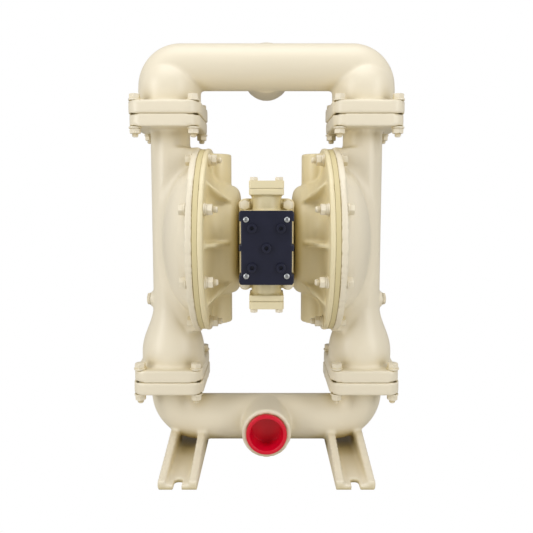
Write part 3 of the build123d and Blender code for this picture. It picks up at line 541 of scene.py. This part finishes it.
def lock_washer(outer, inner, thick, split=0.0016, edge=0.0003):
    """Mesh of a split spring washer standing on height 0."""
    bm = bmesh.new()
    corners = [(inner, 0), (outer - edge, 0), (outer, edge), (outer, thick - edge)]
    corners += [(outer - edge, thick), (inner, thick)]
    start = bm.faces.new([bm.verts.new((radius, 0, height)) for radius, height in corners])
    sweep = tau - split / outer
    bmesh.ops.spin(bm, geom=[start], axis=(0, 0, 1), cent=(0, 0, 0), angle=sweep, steps=36, use_merge=False)
    bmesh.ops.recalc_face_normals(bm, faces=bm.faces)
    return mesh_of(bm)


def screw_thread(radius, pitch, low, high, depth_share=0.55, steps=24):
    """A bmesh of helical ridges about Z from one height to another, with their crests at a radius."""
    bm = bmesh.new()
    turns = max(1, int((high - low) / pitch) - 1)
    root, crest = radius - pitch * depth_share, radius
    ridge = [(root, 0.0), (crest, 0.42), (crest, 0.58)]
    chain = []
    for turn in range(turns):
        chain += [bm.verts.new((across, 0, low + (turn + along) * pitch)) for across, along in ridge]
    chain.append(bm.verts.new((root, 0, low + turns * pitch)))
    edges = [bm.edges.new(pair) for pair in zip(chain, chain[1:])]
    bmesh.ops.spin(
        bm,
        geom=chain + edges,
        axis=(0, 0, 1),
        cent=(0, 0, 0),
        angle=tau,
        dvec=(0, 0, pitch / steps),
        steps=steps,
    )
    bmesh.ops.remove_doubles(bm, verts=bm.verts, dist=2e-6)
    bmesh.ops.recalc_face_normals(bm, faces=bm.faces)
    return bm


def threaded_end(radius, pitch, high):
    """Mesh of a bolt's threaded end that stands on height 0 and ends in a chamfered point."""
    depth = pitch * 0.55
    bm = screw_thread(radius, pitch, -0.0005, high - 0.0004)
    core = radius - depth + 0.00005
    turned([(core, -0.001), (core, high - 0.0007), (core - 0.0007, high), (0, high)], 24, bm)
    return mesh_of(bm)


def bolt_set(sizes):
    """Meshes of a bolt head, a nut and a plain washer."""
    head = hexagon_piece(sizes.head_flats, sizes.head_high)
    nut = hexagon_piece(sizes.head_flats, sizes.nut_high, both_ends=True)
    return head, nut, washer(sizes.washer, sizes.shank, sizes.washer_thick)


def hardware(node, *parts):
    """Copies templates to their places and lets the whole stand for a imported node."""
    bm = bmesh.new()
    for template, places in parts:
        copies(template, places, bm)
    obj = to_object(bm, f"{node}_hardware", bpy.data.materials["Cream enamel on steel"])
    obj.data.set_sharp_from_angle(angle=HARDWARE_EDGE)
    settle(obj, "painted_steel", node)


# ---- pieces
class PUMP_OT_paints(bpy.types.Operator):
    """Mixes the paints, plastics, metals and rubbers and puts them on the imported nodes"""

    bl_idname = "pump.paints"
    bl_label = "Paints and metals"

    def execute(self, context):
        paint = context.scene.pump_paint
        # Satin enamel on sand-cast iron, on the die-cast air section and over the steel hardware, each with
        # painted shade in its corners
        enamel("Cream enamel on castings", paint.cream, paint.corner_shade)
        enamel("Cream enamel on air section", paint.air_cream, paint.corner_shade, skin=0.35)
        enamel("Cream enamel on steel", paint.cream, paint.corner_shade, skin=0.12, peel=0.06)
        # Spark-textured glass-filled nylon and smooth polyethylene
        moulded_plastic("Navy moulded nylon", paint.navy, "#12152F", 0.9, 0.08, 0.36)
        moulded_plastic("Red moulded polyethylene", paint.red, "#D4002A", 2.5, 0.05, 0.3)
        # Plated screws, ground rods, turned plates and bushes, honed valve parts and lapped seats
        for name, code, stain_code, rough, axis in (
            ("Bright zinc plate", "#C9CCD0", "#B4B6B4", 0.3, "Y"),
            ("Ground stainless steel", "#C8C8C6", "#BDBBB8", 0.2, "X"),
            ("Turned plate steel", "#A9A9A8", "#8F8E8B", 0.36, "X"),
            ("Turned bronze", "#C08B4A", "#9C6A34", 0.34, "X"),
            ("Honed aluminium", "#D2D3D4", "#BFC0C2", 0.28, "Z"),
            ("Lapped seat steel", "#BDBDBA", "#A5A49F", 0.26, "Z"),
        ):
            machined_metal(name, code, stain_code, rough, axis)
        # Black rubbers; the diaphragms' clamped rims took some of the cream paint
        moulded_rubber("Ball rubber", "#1B1B1C", "#2A2A2B")
        moulded_rubber("Nitrile rubber", "#151515", "#232324")
        moulded_rubber("Diaphragm rubber", "#1C1B1A", "#2B2A28", "#D9CB9C")
        worn = {
            "Cream enamel on castings": ["suction_manifold", "discharge_manifold", *both_sides("fluid_cap")],
            "Cream enamel on air section": [
                *both_sides("air_cap"),
                "center_body",
                "valve_body",
                "valve_gasket",
                *(f"end_{layer}_{end}" for layer in ("cover", "gasket") for end in ("top", "bottom")),
            ],
            "Ground stainless steel": ["diaphragm_rod", "pilot_spool", *both_sides("pilot_pin")],
            "Turned plate steel": both_sides("inner_plate", "outer_plate"),
            "Turned bronze": ["rod_bushes", "pilot_bushes"],
            "Honed aluminium": ["valve_sleeve", "valve_spool"],
            "Lapped seat steel": both_sides("inlet_seat", "outlet_seat"),
            "Ball rubber": both_sides("inlet_ball", "outlet_ball"),
            "Nitrile rubber": ["seat_orings"],
            "Diaphragm rubber": both_sides("diaphragm"),
        }
        for finish, nodes in worn.items():
            for node in nodes:
                dress(NODES[node], bpy.data.materials[finish])
        return {"FINISHED"}


def in_dome_sweep(spot):
    """Whether a point lies where a pump chamber's dome runs into the riser's web."""
    return 0.112 < abs(spot.x) < 0.165 and 0.225 < spot.z < 0.475


class PUMP_OT_fluid_castings(bpy.types.Operator):
    """Runs a soft cast skin over the two manifolds and the two fluid caps"""

    bl_idname = "pump.fluid_castings"
    bl_label = "Manifolds and fluid caps"

    def execute(self, context):
        sizes = context.scene.pump_castings
        paint = bpy.data.materials["Cream enamel on castings"]
        for node in ("suction_manifold", "discharge_manifold", *both_sides("fluid_cap")):
            is_cap = node.startswith("fluid_cap")
            grain = sizes.cap_grain if is_cap else sizes.pipe_grain
            casting = cast_skin(node, f"{node}_casting", paint, grain, sizes.passes)
            filleted(casting, INNER_CORNER, 1, 6)
            if is_cap:
                # The wide sweep between the chamber's dome and the riser's web, front and then back
                for way in (-1, 1):
                    filleted(
                        casting, radians(5), 6, 50, lambda spot: in_dome_sweep(spot) and spot.y * way > 0
                    )
            settle(casting, "painted_casting", node)
        return {"FINISHED"}


# Air caps: radii from the rod, and places along it from the pump's middle
BARREL_END = 0.062
FLARE_RADIUS = 0.110
HUB_FACE, HUB_RADIUS = 0.041, 0.068
SHOULDER_WIDE, SHOULDER_DEEP = 0.016, 0.014
FLANGE_RADIUS, FLANGE_BREAK = 0.141, 0.0012
FLANGE_BACK, FLANGE_FRONT = 0.0853, 0.0927
WEB_END = 0.0863  # where the tower and the ribs end inside the flange
TOWER_ALONG, TOWER_BEHIND = 0.0815, 0.012
TOWER_RADIUS, TOWER_HALF_HIGH = 0.026, 0.133
RIB_START, RIB_FOOT, RIB_LOW, RIB_HIGH, RIB_THICK = 0.051, 0.080, 0.0825, 0.128, 0.0065
RIB_ANGLES = (45, 90, 135, 225, 270, 315)


def flare_points(high, deep, steps=10):
    """Quarter ellipse of the air caps' flare as (radius, height along the rod), barrel first."""
    turns = [step / steps * pi / 2 for step in range(steps + 1)]
    return [(FLARE_RADIUS - deep * cos(turn), BARREL_END + high * sin(turn)) for turn in turns]


def air_chamber_tool():
    """The space inside an air cap: rod bore, floor and a wall that follows the flare."""
    bore, start, floor, wide, past = 0.017, 0.039, 0.060, 0.072, 0.095
    outline = [(0, start), (bore, start), (bore, floor), (wide, floor), *flare_points(0.0293, 0.030)]
    return turned(outline + [(FLARE_RADIUS, past), (0, past)], 96)


def air_cap_wall():
    """Hub face, shoulder, barrel, flare and flange, turned about the rod."""
    outline = [(0, HUB_FACE)]
    for step in range(11):
        turn = step * pi / 20
        rise = SHOULDER_DEEP * (1 - cos(turn))
        outline.append((HUB_RADIUS + SHOULDER_WIDE * sin(turn), HUB_FACE + rise))
    outline += flare_points(0.0233, 0.024)
    rim = FLANGE_RADIUS - FLANGE_BREAK
    outline += [(rim, FLANGE_BACK), (FLANGE_RADIUS, FLANGE_BACK + FLANGE_BREAK)]
    outline += [(FLANGE_RADIUS, FLANGE_FRONT - FLANGE_BREAK), (rim, FLANGE_FRONT), (0, FLANGE_FRONT)]
    return turned(outline, 128)


def air_cap_tower():
    """The upright block across the hub, a little behind the rod, round towards the pump's middle."""
    arc = []
    for step in range(-10, 11):
        turn = step * pi / 20
        arc.append((TOWER_ALONG - TOWER_RADIUS * cos(turn), TOWER_BEHIND + TOWER_RADIUS * sin(turn)))
    arc += [(WEB_END, TOWER_BEHIND + TOWER_RADIUS), (WEB_END, TOWER_BEHIND - TOWER_RADIUS)]
    foot = ROD_HEIGHT - TOWER_HALF_HIGH
    return prism([(x, y, foot) for x, y in arc], (0, 0, 2 * TOWER_HALF_HIGH))


def air_cap_rib(angle):
    """A web from the barrel out to the flange, at an angle about the rod."""
    outward = Vector((0, -sin(radians(angle)), cos(radians(angle))))
    flat = Vector((0, -cos(radians(angle)), -sin(radians(angle))))
    web = [(WEB_END, RIB_HIGH), (WEB_END, RIB_FOOT), (RIB_START, RIB_FOOT), (RIB_START, RIB_LOW)]
    points = [Vector((x, 0, ROD_HEIGHT)) + outward * r - flat * RIB_THICK / 2 for x, r in web]
    return prism(points, flat * RIB_THICK)


def air_cap_form(out):
    """An air cap on the +X or -X side with its chamber and its pilot pin's hole cut out."""
    along_x = Matrix(((0, 0, 1, 0), (1, 0, 0, 0), (0, 1, 0, ROD_HEIGHT), (0, 0, 0, 1)))
    wall = air_cap_wall()
    bmesh.ops.transform(wall, matrix=along_x, verts=wall.verts)
    pin_place = Matrix.Translation((0.05, 0, ROD_HEIGHT + 0.03)) @ Matrix.Rotation(pi / 2, 4, "Y")
    whole = bmesh.new()
    for form in (wall, air_cap_tower(), *(air_cap_rib(angle) for angle in RIB_ANGLES)):
        tool = air_chamber_tool()
        bmesh.ops.transform(tool, matrix=along_x, verts=tool.verts)
        pin = bmesh.new()
        bmesh.ops.create_cone(pin, cap_ends=True, segments=32, radius1=0.008, radius2=0.008, depth=0.03)
        bmesh.ops.transform(pin, matrix=pin_place, verts=pin.verts)
        opened = bmesh.new()
        opened.from_mesh(cut_part(form, tool))
        whole.from_mesh(cut_part(opened, pin))
    if out < 0:
        bmesh.ops.transform(whole, matrix=Matrix.Diagonal((-1, 1, 1, 1)), verts=whole.verts)
        bmesh.ops.reverse_faces(whole, faces=whole.faces)
    return whole


class PUMP_OT_air_castings(bpy.types.Operator):
    """Forms the air caps and runs a finer skin over them, the centre body and the valve body"""

    bl_idname = "pump.air_castings"
    bl_label = "Air section"

    def execute(self, context):
        sizes = context.scene.pump_castings
        paint = bpy.data.materials["Cream enamel on air section"]
        for side, out in (("left", -1), ("right", 1)):
            cap = to_object(air_cap_form(out), f"air_cap_{side}_casting", paint)
            soften_casting(cap, paint, sizes.air_grain * 1.2, sizes.passes)
            filleted(cap, INNER_CORNER, 1, 8)
            settle(cap, "painted_air_casting", f"air_cap_{side}")
        for node, grain in (("center_body", sizes.air_grain), ("valve_body", sizes.air_grain * 0.8)):
            casting = cast_skin(node, f"{node}_casting", paint, grain, sizes.passes)
            filleted(casting, INNER_CORNER, 2, 10)
            settle(casting, "painted_air_casting", node)
        for node in ("end_cover_top", "end_cover_bottom"):
            bm = merged_copy(node)
            bmesh.ops.dissolve_limit(bm, angle_limit=radians(1), verts=bm.verts, edges=bm.edges)
            cover = softened(to_object(bm, f"{node}_casting", paint), 0.0009, 3)
            settle(cover, "painted_air_casting", node)
        return {"FINISHED"}


def columns(node):
    """Middle of each separate solid of a node, with its lowest and highest height."""
    return [((low + high) / 2, low.z, high.z) for low, high in solids_of(node)]


class PUMP_OT_flange_fasteners(bpy.types.Operator):
    """Bolts the four manifold flanges up: washers, hexagon bolts and nuts with threads showing"""

    bl_idname = "pump.flange_fasteners"
    bl_label = "Flange fasteners"

    def execute(self, context):
        sizes = context.scene.pump_fasteners
        head, nut, ring = bolt_set(sizes)
        tip = threaded_end(sizes.shank, sizes.pitch, sizes.flange_end)
        up, down = Vector((0, 0, 1)), Vector((0, 0, -1))
        past = down * sizes.washer_thick
        for level in ("upper", "lower"):
            rings = columns(f"{level}_flange_washers")
            split = (min(low for _, low, _ in rings) + max(high for _, _, high in rings)) / 2
            heads = [Vector((middle.x, middle.y, low)) for middle, low, _ in rings if low > split]
            feet = [Vector((middle.x, middle.y, high)) for middle, _, high in rings if high < split]
            nuts = [spot + past + down * sizes.nut_high for spot in feet]
            hardware(
                f"{level}_flange_washers",
                (ring, [aimed(spot, up) for spot in heads] + [aimed(spot, down) for spot in feet]),
            )
            hardware(
                f"{level}_flange_bolts",
                (head, [Matrix.Translation(spot - past) for spot in heads]),
                (tip, [aimed(spot, down) for spot in nuts]),
            )
            hardware(f"{level}_flange_nuts", (nut, [Matrix.Translation(spot) for spot in nuts]))
        return {"FINISHED"}


def stood(spots, away, lift, inward=False):
    """Matrices of pieces lifted off their seats along the rod, away from the middle or inward."""
    shift = away * (-lift if inward else lift)
    back = Matrix.Rotation(pi, 4, "Y") if inward else Matrix()
    return [Matrix.Translation(spot + shift) @ turn @ back for spot, turn in spots]


class PUMP_OT_chamber_fasteners(bpy.types.Operator):
    """Bolts the two chambers up: heads outside, lock washers, nuts and thread ends inside"""

    bl_idname = "pump.chamber_fasteners"
    bl_label = "Chamber fasteners"

    def execute(self, context):
        sizes = context.scene.pump_fasteners
        head, nut, ring = bolt_set(sizes)
        spring = lock_washer(sizes.lock, sizes.shank, sizes.lock_thick)
        tip = threaded_end(sizes.shank, sizes.pitch, sizes.chamber_end)
        rod = Vector((0, 0, ROD_HEIGHT))
        locked = sizes.washer_thick + sizes.lock_thick
        for side, out in (("left", -1), ("right", 1)):
            rings = solids_of(f"chamber_washers_{side}")
            away = Vector((out, 0, 0))
            outer = max(abs(low.x + high.x) for low, high in rings) / 2
            outside, inside = [], []
            for low, high in rings:
                middle = (low + high) / 2
                spoke = (middle - rod) * Vector((0, 1, 1))
                axes = (spoke.normalized(), away.cross(spoke).normalized(), away)
                turn = Matrix(axes).transposed().to_4x4()
                if abs(middle.x) > outer - 0.002:
                    group, seat = outside, min(abs(low.x), abs(high.x))
                else:
                    group, seat = inside, max(abs(low.x), abs(high.x))
                group.append((Vector((out * seat, middle.y, middle.z)), turn))
            hardware(
                f"chamber_washers_{side}",
                (ring, stood(outside, away, 0) + stood(inside, away, 0, inward=True)),
                (spring, stood(inside, away, sizes.washer_thick, inward=True)),
            )
            hardware(
                f"chamber_bolts_{side}",
                (head, stood(outside, away, sizes.washer_thick)),
                (tip, stood(inside, away, locked + sizes.nut_high, inward=True)),
            )
            hardware(f"chamber_nuts_{side}", (nut, stood(inside, away, locked, inward=True)))
        return {"FINISHED"}


class PUMP_OT_valve_fasteners(bpy.types.Operator):
    """Puts in the valve body's bolts, the end covers' bolts and the riser plugs"""

    bl_idname = "pump.valve_fasteners"
    bl_label = "Valve bolts and riser plugs"

    def execute(self, context):
        # Valve body bolts: a hexagon sunk a little into a thin round flange, on the body's lugs
        lug_face, lift = -0.097, 0.0006
        seats = []
        for low, high in solids_of("valve_bolts"):
            spot = Vector(((low.x + high.x) / 2, lug_face, (low.z + high.z) / 2))
            seats.append(aimed(spot, (0, -1, 0)))
        lifted = [place @ Matrix.Translation((0, 0, lift)) for place in seats]
        flange = washer(0.0078, 0.003, 0.0008, 0.00025)
        hardware("valve_bolts", (hexagon_piece(0.0125, 0.0056), lifted), (flange, seats))

        places = []
        for middle, _, _ in columns("end_cover_bolts"):
            up = middle.z > ROD_HEIGHT
            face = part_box("end_cover_top")[1][2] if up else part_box("end_cover_bottom")[0][2]
            places.append(aimed(Vector((middle.x, middle.y, face)), (0, 0, 1 if up else -1)))
        hardware("end_cover_bolts", (hexagon_piece(0.010, 0.0050), places))

        boss_face = 0.184
        plug = hexagon_piece(0.016, 0.0050)
        collar = washer(0.0098, 0.004, 0.0010, 0.0003)
        for side, out in (("left", -1), ("right", 1)):
            low, high = solids_of(f"riser_plug_{side}")[0]
            middle = (low + high) / 2
            place = aimed(Vector((out * boss_face, middle.y, middle.z)), (out, 0, 0))
            hardware(f"riser_plug_{side}", (plug, [place]), (collar, [place]))
        return {"FINISHED"}


class PUMP_OT_valve_cover(bpy.types.Operator):
    """Moulds the navy valve cover with its side recesses and its rounded front edge"""

    bl_idname = "pump.valve_cover"
    bl_label = "Valve cover"

    def execute(self, context):
        sizes = context.scene.pump_cover
        front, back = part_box("valve_cover")[0][1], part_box("valve_cover")[1][1]
        half, tall = sizes.width / 2, sizes.high / 2
        side, lug, middle = half - sizes.relief, tall - sizes.lug, sizes.middle_lug / 2
        across = (-half, -side, side, half)
        up = (-tall, -lug, -middle, middle, lug, tall)
        bm = bmesh.new()
        grid = [[bm.verts.new((x, back, sizes.middle + z)) for z in up] for x in across]
        for i in range(3):
            for j in range(5):
                if i == 1 or j != 1 and j != 3:
                    bm.faces.new([grid[i][j], grid[i + 1][j], grid[i + 1][j + 1], grid[i][j + 1]])
        pushed(bm, (0, front - back, 0))

        def upright(outermost):
            """Edges that run front to back on the outline, at its four corners or elsewhere."""
            found = []
            for edge in bm.edges:
                one, two = (vert.co for vert in edge.verts)
                runs = abs(one.y - two.y) > 0.001 and edge.calc_face_angle(0) > 1
                at_corner = abs(one.x) > half - 1e-5 and abs(one.z - sizes.middle) > tall - 1e-5
                if runs and at_corner == outermost:
                    found.append(edge)
            return found

        rounding = {"profile": 0.5, "affect": "EDGES", "material": -1}
        bmesh.ops.bevel(bm, geom=upright(True), offset=sizes.corner, segments=8, **rounding)
        rim = [
            edge
            for edge in bm.edges
            if all(abs(vert.co.y - front) < 1e-6 for vert in edge.verts) and edge.calc_face_angle(0) > 1
        ]
        bmesh.ops.bevel(bm, geom=rim, offset=sizes.edge, segments=5, **rounding)
        bmesh.ops.bevel(bm, geom=upright(False), offset=0.0005, segments=2, **rounding)
        bmesh.ops.recalc_face_normals(bm, faces=bm.faces)
        cover = to_object(bm, "moulded_valve_cover", bpy.data.materials["Navy moulded nylon"])
        cover.data.set_sharp_from_angle(angle=radians(50))
        weighted = cover.modifiers.new("Flats", "WEIGHTED_NORMAL")
        weighted.keep_sharp = True
        apply_modifiers(cover)
        settle(cover, "navy_plastic", "valve_cover")
        return {"FINISHED"}


def front_places(pitch, middle, face, centre=False):
    """Matrices of a rectangular pattern on a face that looks along -Y, with its middle on request."""
    spots = [(dx * pitch[0] / 2, dz * pitch[1] / 2) for dx in (-1, 1) for dz in (-1, 1)]
    spots += [(0, 0)] if centre else []
    return [aimed(Vector((x, face, middle + z)), (0, -1, 0)) for x, z in spots]


def recess_screw(wide):
    """Mesh of a pan head with a low crown, a rolled edge and a cross recess."""
    dome = [(0, -0.0015), (wide * 0.5, -0.0015), (wide * 0.97, 0), (wide, 0.0003), (wide, 0.0009)]
    dome += [(wide * cos(step * pi / 12), 0.0009 + 0.0012 * sin(step * pi / 12)) for step in range(1, 6)]
    dome += [(0, 0.00215)]
    long, short = 0.0023, 0.0006
    star = [(long, short), (short, short), (short, long)]
    star += [(-x, y) for x, y in reversed(star)]
    star += [(-x, -y) for x, y in star]
    cross = bmesh.new()
    base = [cross.verts.new((x * 0.6, y * 0.6, 0.0006)) for x, y in star]
    lid = [cross.verts.new((x, y, 0.003)) for x, y in star]
    cross.faces.new(base)
    cross.faces.new(lid)
    for one in range(len(star)):
        two = (one + 1) % len(star)
        cross.faces.new([base[one], base[two], lid[two], lid[one]])
    bmesh.ops.recalc_face_normals(cross, faces=cross.faces)
    return cut_part(turned(dome, 40), cross)


def socket_stud(wide, proud=0.0046):
    """Mesh of a socket head: a barrel with a chamfered rim and a hexagon socket."""
    barrel = [(0, -0.002), (wide, -0.002), (wide, proud - 0.0007), (wide - 0.0002, proud - 0.0002)]
    barrel += [(wide - 0.0008, proud), (0.0032, proud), (0.00288, proud - 0.0005)]
    barrel += [(0.0029, proud - 0.0004), (0, proud - 0.0004)]
    return cut_part(turned(barrel, 48), hexagon(0.005, proud - 0.0032, proud + 0.001))


def driven_in(name, template, material, places, turns):
    """Copies a small head to its places in the cover, each stopped at its own turn."""
    spun = [place @ Matrix.Rotation(turn, 4, "Z") for place, turn in zip(places, turns)]
    obj = to_object(copies(template, spun), name, bpy.data.materials[material])
    obj.data.set_sharp_from_angle(angle=HARDWARE_EDGE)
    return obj


class PUMP_OT_cover_screws(bpy.types.Operator):
    """Drives the zinc cross-recess screws and the navy socket studs into the cover"""

    bl_idname = "pump.cover_screws"
    bl_label = "Cover screws and studs"

    def execute(self, context):
        sizes = context.scene.pump_cover
        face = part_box("valve_cover")[0][1]
        places = front_places(sizes.screw_pitch, sizes.middle, face)
        screw = recess_screw(sizes.screw)
        turns = (0.5, 1.4, 0.85, 1.8)
        screws = driven_in("cross_recess_screws", screw, "Bright zinc plate", places, turns)
        settle(screws, "zinc_steel", "cover_screws")
        places = front_places(sizes.stud_pitch, sizes.middle, face, centre=True)
        stud = socket_stud(sizes.stud)
        turns = (0.1, 0.7, 0.4, 0.9, 0.2)
        studs = driven_in("socket_studs", stud, "Navy moulded nylon", places, turns)
        settle(studs, "navy_plastic", "cover_bosses")
        return {"FINISHED"}


class PUMP_OT_port_plug(bpy.types.Operator):
    """Moulds the red cup plug with its thread"""

    bl_idname = "pump.port_plug"
    bl_label = "Port plug"

    def execute(self, context):
        sizes = context.scene.pump_plug
        low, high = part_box("suction_port_plug")
        middle = Vector(((low[0] + high[0]) / 2, low[1] + sizes.rim_thick, (low[2] + high[2]) / 2))
        top = sizes.rim_thick
        floor = top - sizes.depth
        bottom = low[1] + sizes.rim_thick - high[1]
        body, crest, lip = 0.0272, 0.0280, 0.0016
        # From the cup's floor up its wall, over the rolled lip and down the threaded body
        profile = [(0, floor), (sizes.cup - 0.0026, floor), (sizes.cup - 0.0016, floor + 0.001)]
        profile += [(sizes.cup, top - 0.0012), (sizes.cup + 0.0004, top - 0.0004), (sizes.cup + 0.0012, top)]
        for step in range(5):
            turn = step * pi / 8
            profile.append((sizes.rim - lip + lip * sin(turn), top - lip + lip * cos(turn)))
        profile += [(sizes.rim, 0.0003), (sizes.rim - 0.0003, 0.0001), (body, 0.0001), (body, bottom + 0.001)]
        profile += [(body - 0.001, bottom + 0.0001), (0, bottom + 0.0001)]
        bm = turned(profile, 128)
        ridges = screw_thread(crest, sizes.thread_pitch, bottom + 0.003, -0.002, depth_share=0.4, steps=96)
        copies(mesh_of(ridges), [Matrix()], bm)
        bmesh.ops.transform(bm, matrix=aimed(middle, (0, -1, 0)), verts=bm.verts)
        plug = to_object(bm, "moulded_port_plug", bpy.data.materials["Red moulded polyethylene"])
        plug.data.set_sharp_from_angle(angle=radians(40))
        settle(plug, "red_plastic", "suction_port_plug", body="port_plug")
        return {"FINISHED"}


# ---- stage
class PumpStageSettings(bpy.types.PropertyGroup):
    """Sizes of the floor, the camera and the lamps"""

    floor_size: FloatProperty(name="Floor size", description="Side of the floor", default=12.0, unit="LENGTH")
    camera_away: FloatProperty(
        name="Camera distance", description="To the plane of the risers", default=0.866, unit="LENGTH"
    )
    camera_height: FloatProperty(
        name="Camera height", description="Above the floor", default=0.4049, unit="LENGTH"
    )
    camera_pitch: FloatProperty(
        name="Camera pitch", description="Lean of the view", default=radians(5.19), subtype="ANGLE"
    )
    focal_pixels: FloatProperty(
        name="Focal length", description="In pixels of the square picture", default=550.0
    )
    axis_row: FloatProperty(name="Axis row", description="Row of the optical axis, in pixels", default=246.0)
    picture: IntProperty(
        name="Picture side", description="Side of the square picture, in pixels", default=533
    )
    left_box: FloatProperty(name="Left softbox", description="Watts", default=11.0)
    right_box: FloatProperty(name="Right softbox", description="Watts", default=9.0)
    top_box: FloatProperty(name="Top softbox", description="Watts", default=9.5)
    ambient: FloatProperty(name="Ambient", description="Strength of the room's light", default=0.34)


class PUMP_OT_stage(bpy.types.Operator):
    """Makes the floor, the world, the softboxes and the camera"""

    bl_idname = "pump.stage"
    bl_label = "Stage"

    def execute(self, context):
        settings = context.scene.pump_stage
        scene = context.scene
        bm = bmesh.new()
        bmesh.ops.create_grid(bm, x_segments=1, y_segments=1, size=settings.floor_size / 2)
        # White to the eye; every other ray meets a plain matt sheet
        material, tree = new_material("Matt white sweep")
        shown = add_node(tree, "ShaderNodeLightPath")
        dim = add_node(tree, "ShaderNodeBsdfDiffuse", {"Color": linear("#D6D4CE")})
        white = add_node(tree, "ShaderNodeEmission", {"Color": linear("#FFFFFF"), "Strength": 1.0})
        mix = add_node(
            tree,
            "ShaderNodeMixShader",
            {0: shown.outputs["Is Camera Ray"], 1: dim.outputs["BSDF"], 2: white.outputs["Emission"]},
        )
        add_node(tree, "ShaderNodeOutputMaterial", {"Surface": mix.outputs["Shader"]})
        floor = to_object(bm, "floor", material, smooth=False)

        world = bpy.data.worlds.new("Studio")
        world.use_nodes = True
        tree = world.node_tree
        tree.nodes.clear()
        path = add_node(tree, "ShaderNodeLightPath")
        strength = between(tree, path.outputs["Is Camera Ray"], settings.ambient, 1.0)
        backdrop = add_node(
            tree,
            "ShaderNodeBackground",
            {"Color": linear("#FFFFFF"), "Strength": strength},
        )
        add_node(tree, "ShaderNodeOutputWorld", {"Surface": backdrop.outputs["Background"]})
        scene.world = world

        aim = Vector((0, 0, 0.33))
        for name, place, wide, tall, power in (
            ("left softbox", (-1.25, -0.95, 0.72), 0.5, 1.3, settings.left_box),
            ("right softbox", (1.15, -1.05, 0.72), 0.5, 1.3, settings.right_box),
            ("top softbox", (0.0, -0.35, 1.75), 1.3, 0.9, settings.top_box),
        ):
            lamp = bpy.data.lights.new(name, "AREA")
            lamp.shape = "RECTANGLE"
            lamp.size = wide
            lamp.size_y = tall
            lamp.energy = power
            holder = bpy.data.objects.new(name, lamp)
            holder.location = place
            holder.rotation_euler = (aim - Vector(place)).to_track_quat("-Z", "Y").to_euler()
            scene.collection.objects.link(holder)

        camera = bpy.data.cameras.new("camera")
        camera.sensor_width = 36.0
        camera.lens = settings.focal_pixels / settings.picture * camera.sensor_width
        camera.shift_y = (settings.axis_row - settings.picture / 2) / settings.picture
        viewer = bpy.data.objects.new("camera", camera)
        viewer.location = (0, -settings.camera_away, settings.camera_height)
        viewer.rotation_euler = (pi / 2 - settings.camera_pitch, 0, 0)
        scene.collection.objects.link(viewer)
        scene.camera = viewer
        scene.view_settings.view_transform = "Standard"
        return {"FINISHED"}


# ---- add-on
SETTINGS = (
    ("pump_paint", PumpPaintSettings),
    ("pump_castings", PumpCastingSettings),
    ("pump_fasteners", PumpFastenerSettings),
    ("pump_cover", PumpCoverSettings),
    ("pump_plug", PumpPlugSettings),
    ("pump_stage", PumpStageSettings),
)
OPERATORS = (
    PUMP_OT_paints,
    PUMP_OT_fluid_castings,
    PUMP_OT_air_castings,
    PUMP_OT_flange_fasteners,
    PUMP_OT_chamber_fasteners,
    PUMP_OT_valve_fasteners,
    PUMP_OT_valve_cover,
    PUMP_OT_cover_screws,
    PUMP_OT_port_plug,
    PUMP_OT_stage,
)


class PUMP_PT_finish(bpy.types.Panel):
    """Lists the pump's finishing steps"""

    bl_label = "Diaphragm pump"
    bl_idname = "PUMP_PT_finish"
    bl_space_type = "VIEW_3D"
    bl_region_type = "UI"
    bl_category = "Pump"

    def draw(self, context):
        for name, group in SETTINGS:
            box = self.layout.box()
            for each in group.__annotations__:
                box.prop(getattr(context.scene, name), each)
        for operator in OPERATORS:
            self.layout.operator(operator.bl_idname)


CLASSES = (*(group for _, group in SETTINGS), *OPERATORS, PUMP_PT_finish)


def register():
    for each in CLASSES:
        bpy.utils.register_class(each)
    for name, group in SETTINGS:
        setattr(bpy.types.Scene, name, PointerProperty(type=group))


def unregister():
    for name, _ in SETTINGS:
        delattr(bpy.types.Scene, name)
    for each in reversed(CLASSES):
        bpy.utils.unregister_class(each)


def main():
    register()
    bpy.ops.pump.paints()
    bpy.ops.pump.fluid_castings()
    bpy.ops.pump.air_castings()
    bpy.ops.pump.flange_fasteners()
    bpy.ops.pump.chamber_fasteners()
    bpy.ops.pump.valve_fasteners()
    bpy.ops.pump.valve_cover()
    bpy.ops.pump.cover_screws()
    bpy.ops.pump.port_plug()
    bpy.ops.pump.stage()


if __name__ == "__main__":
    main()
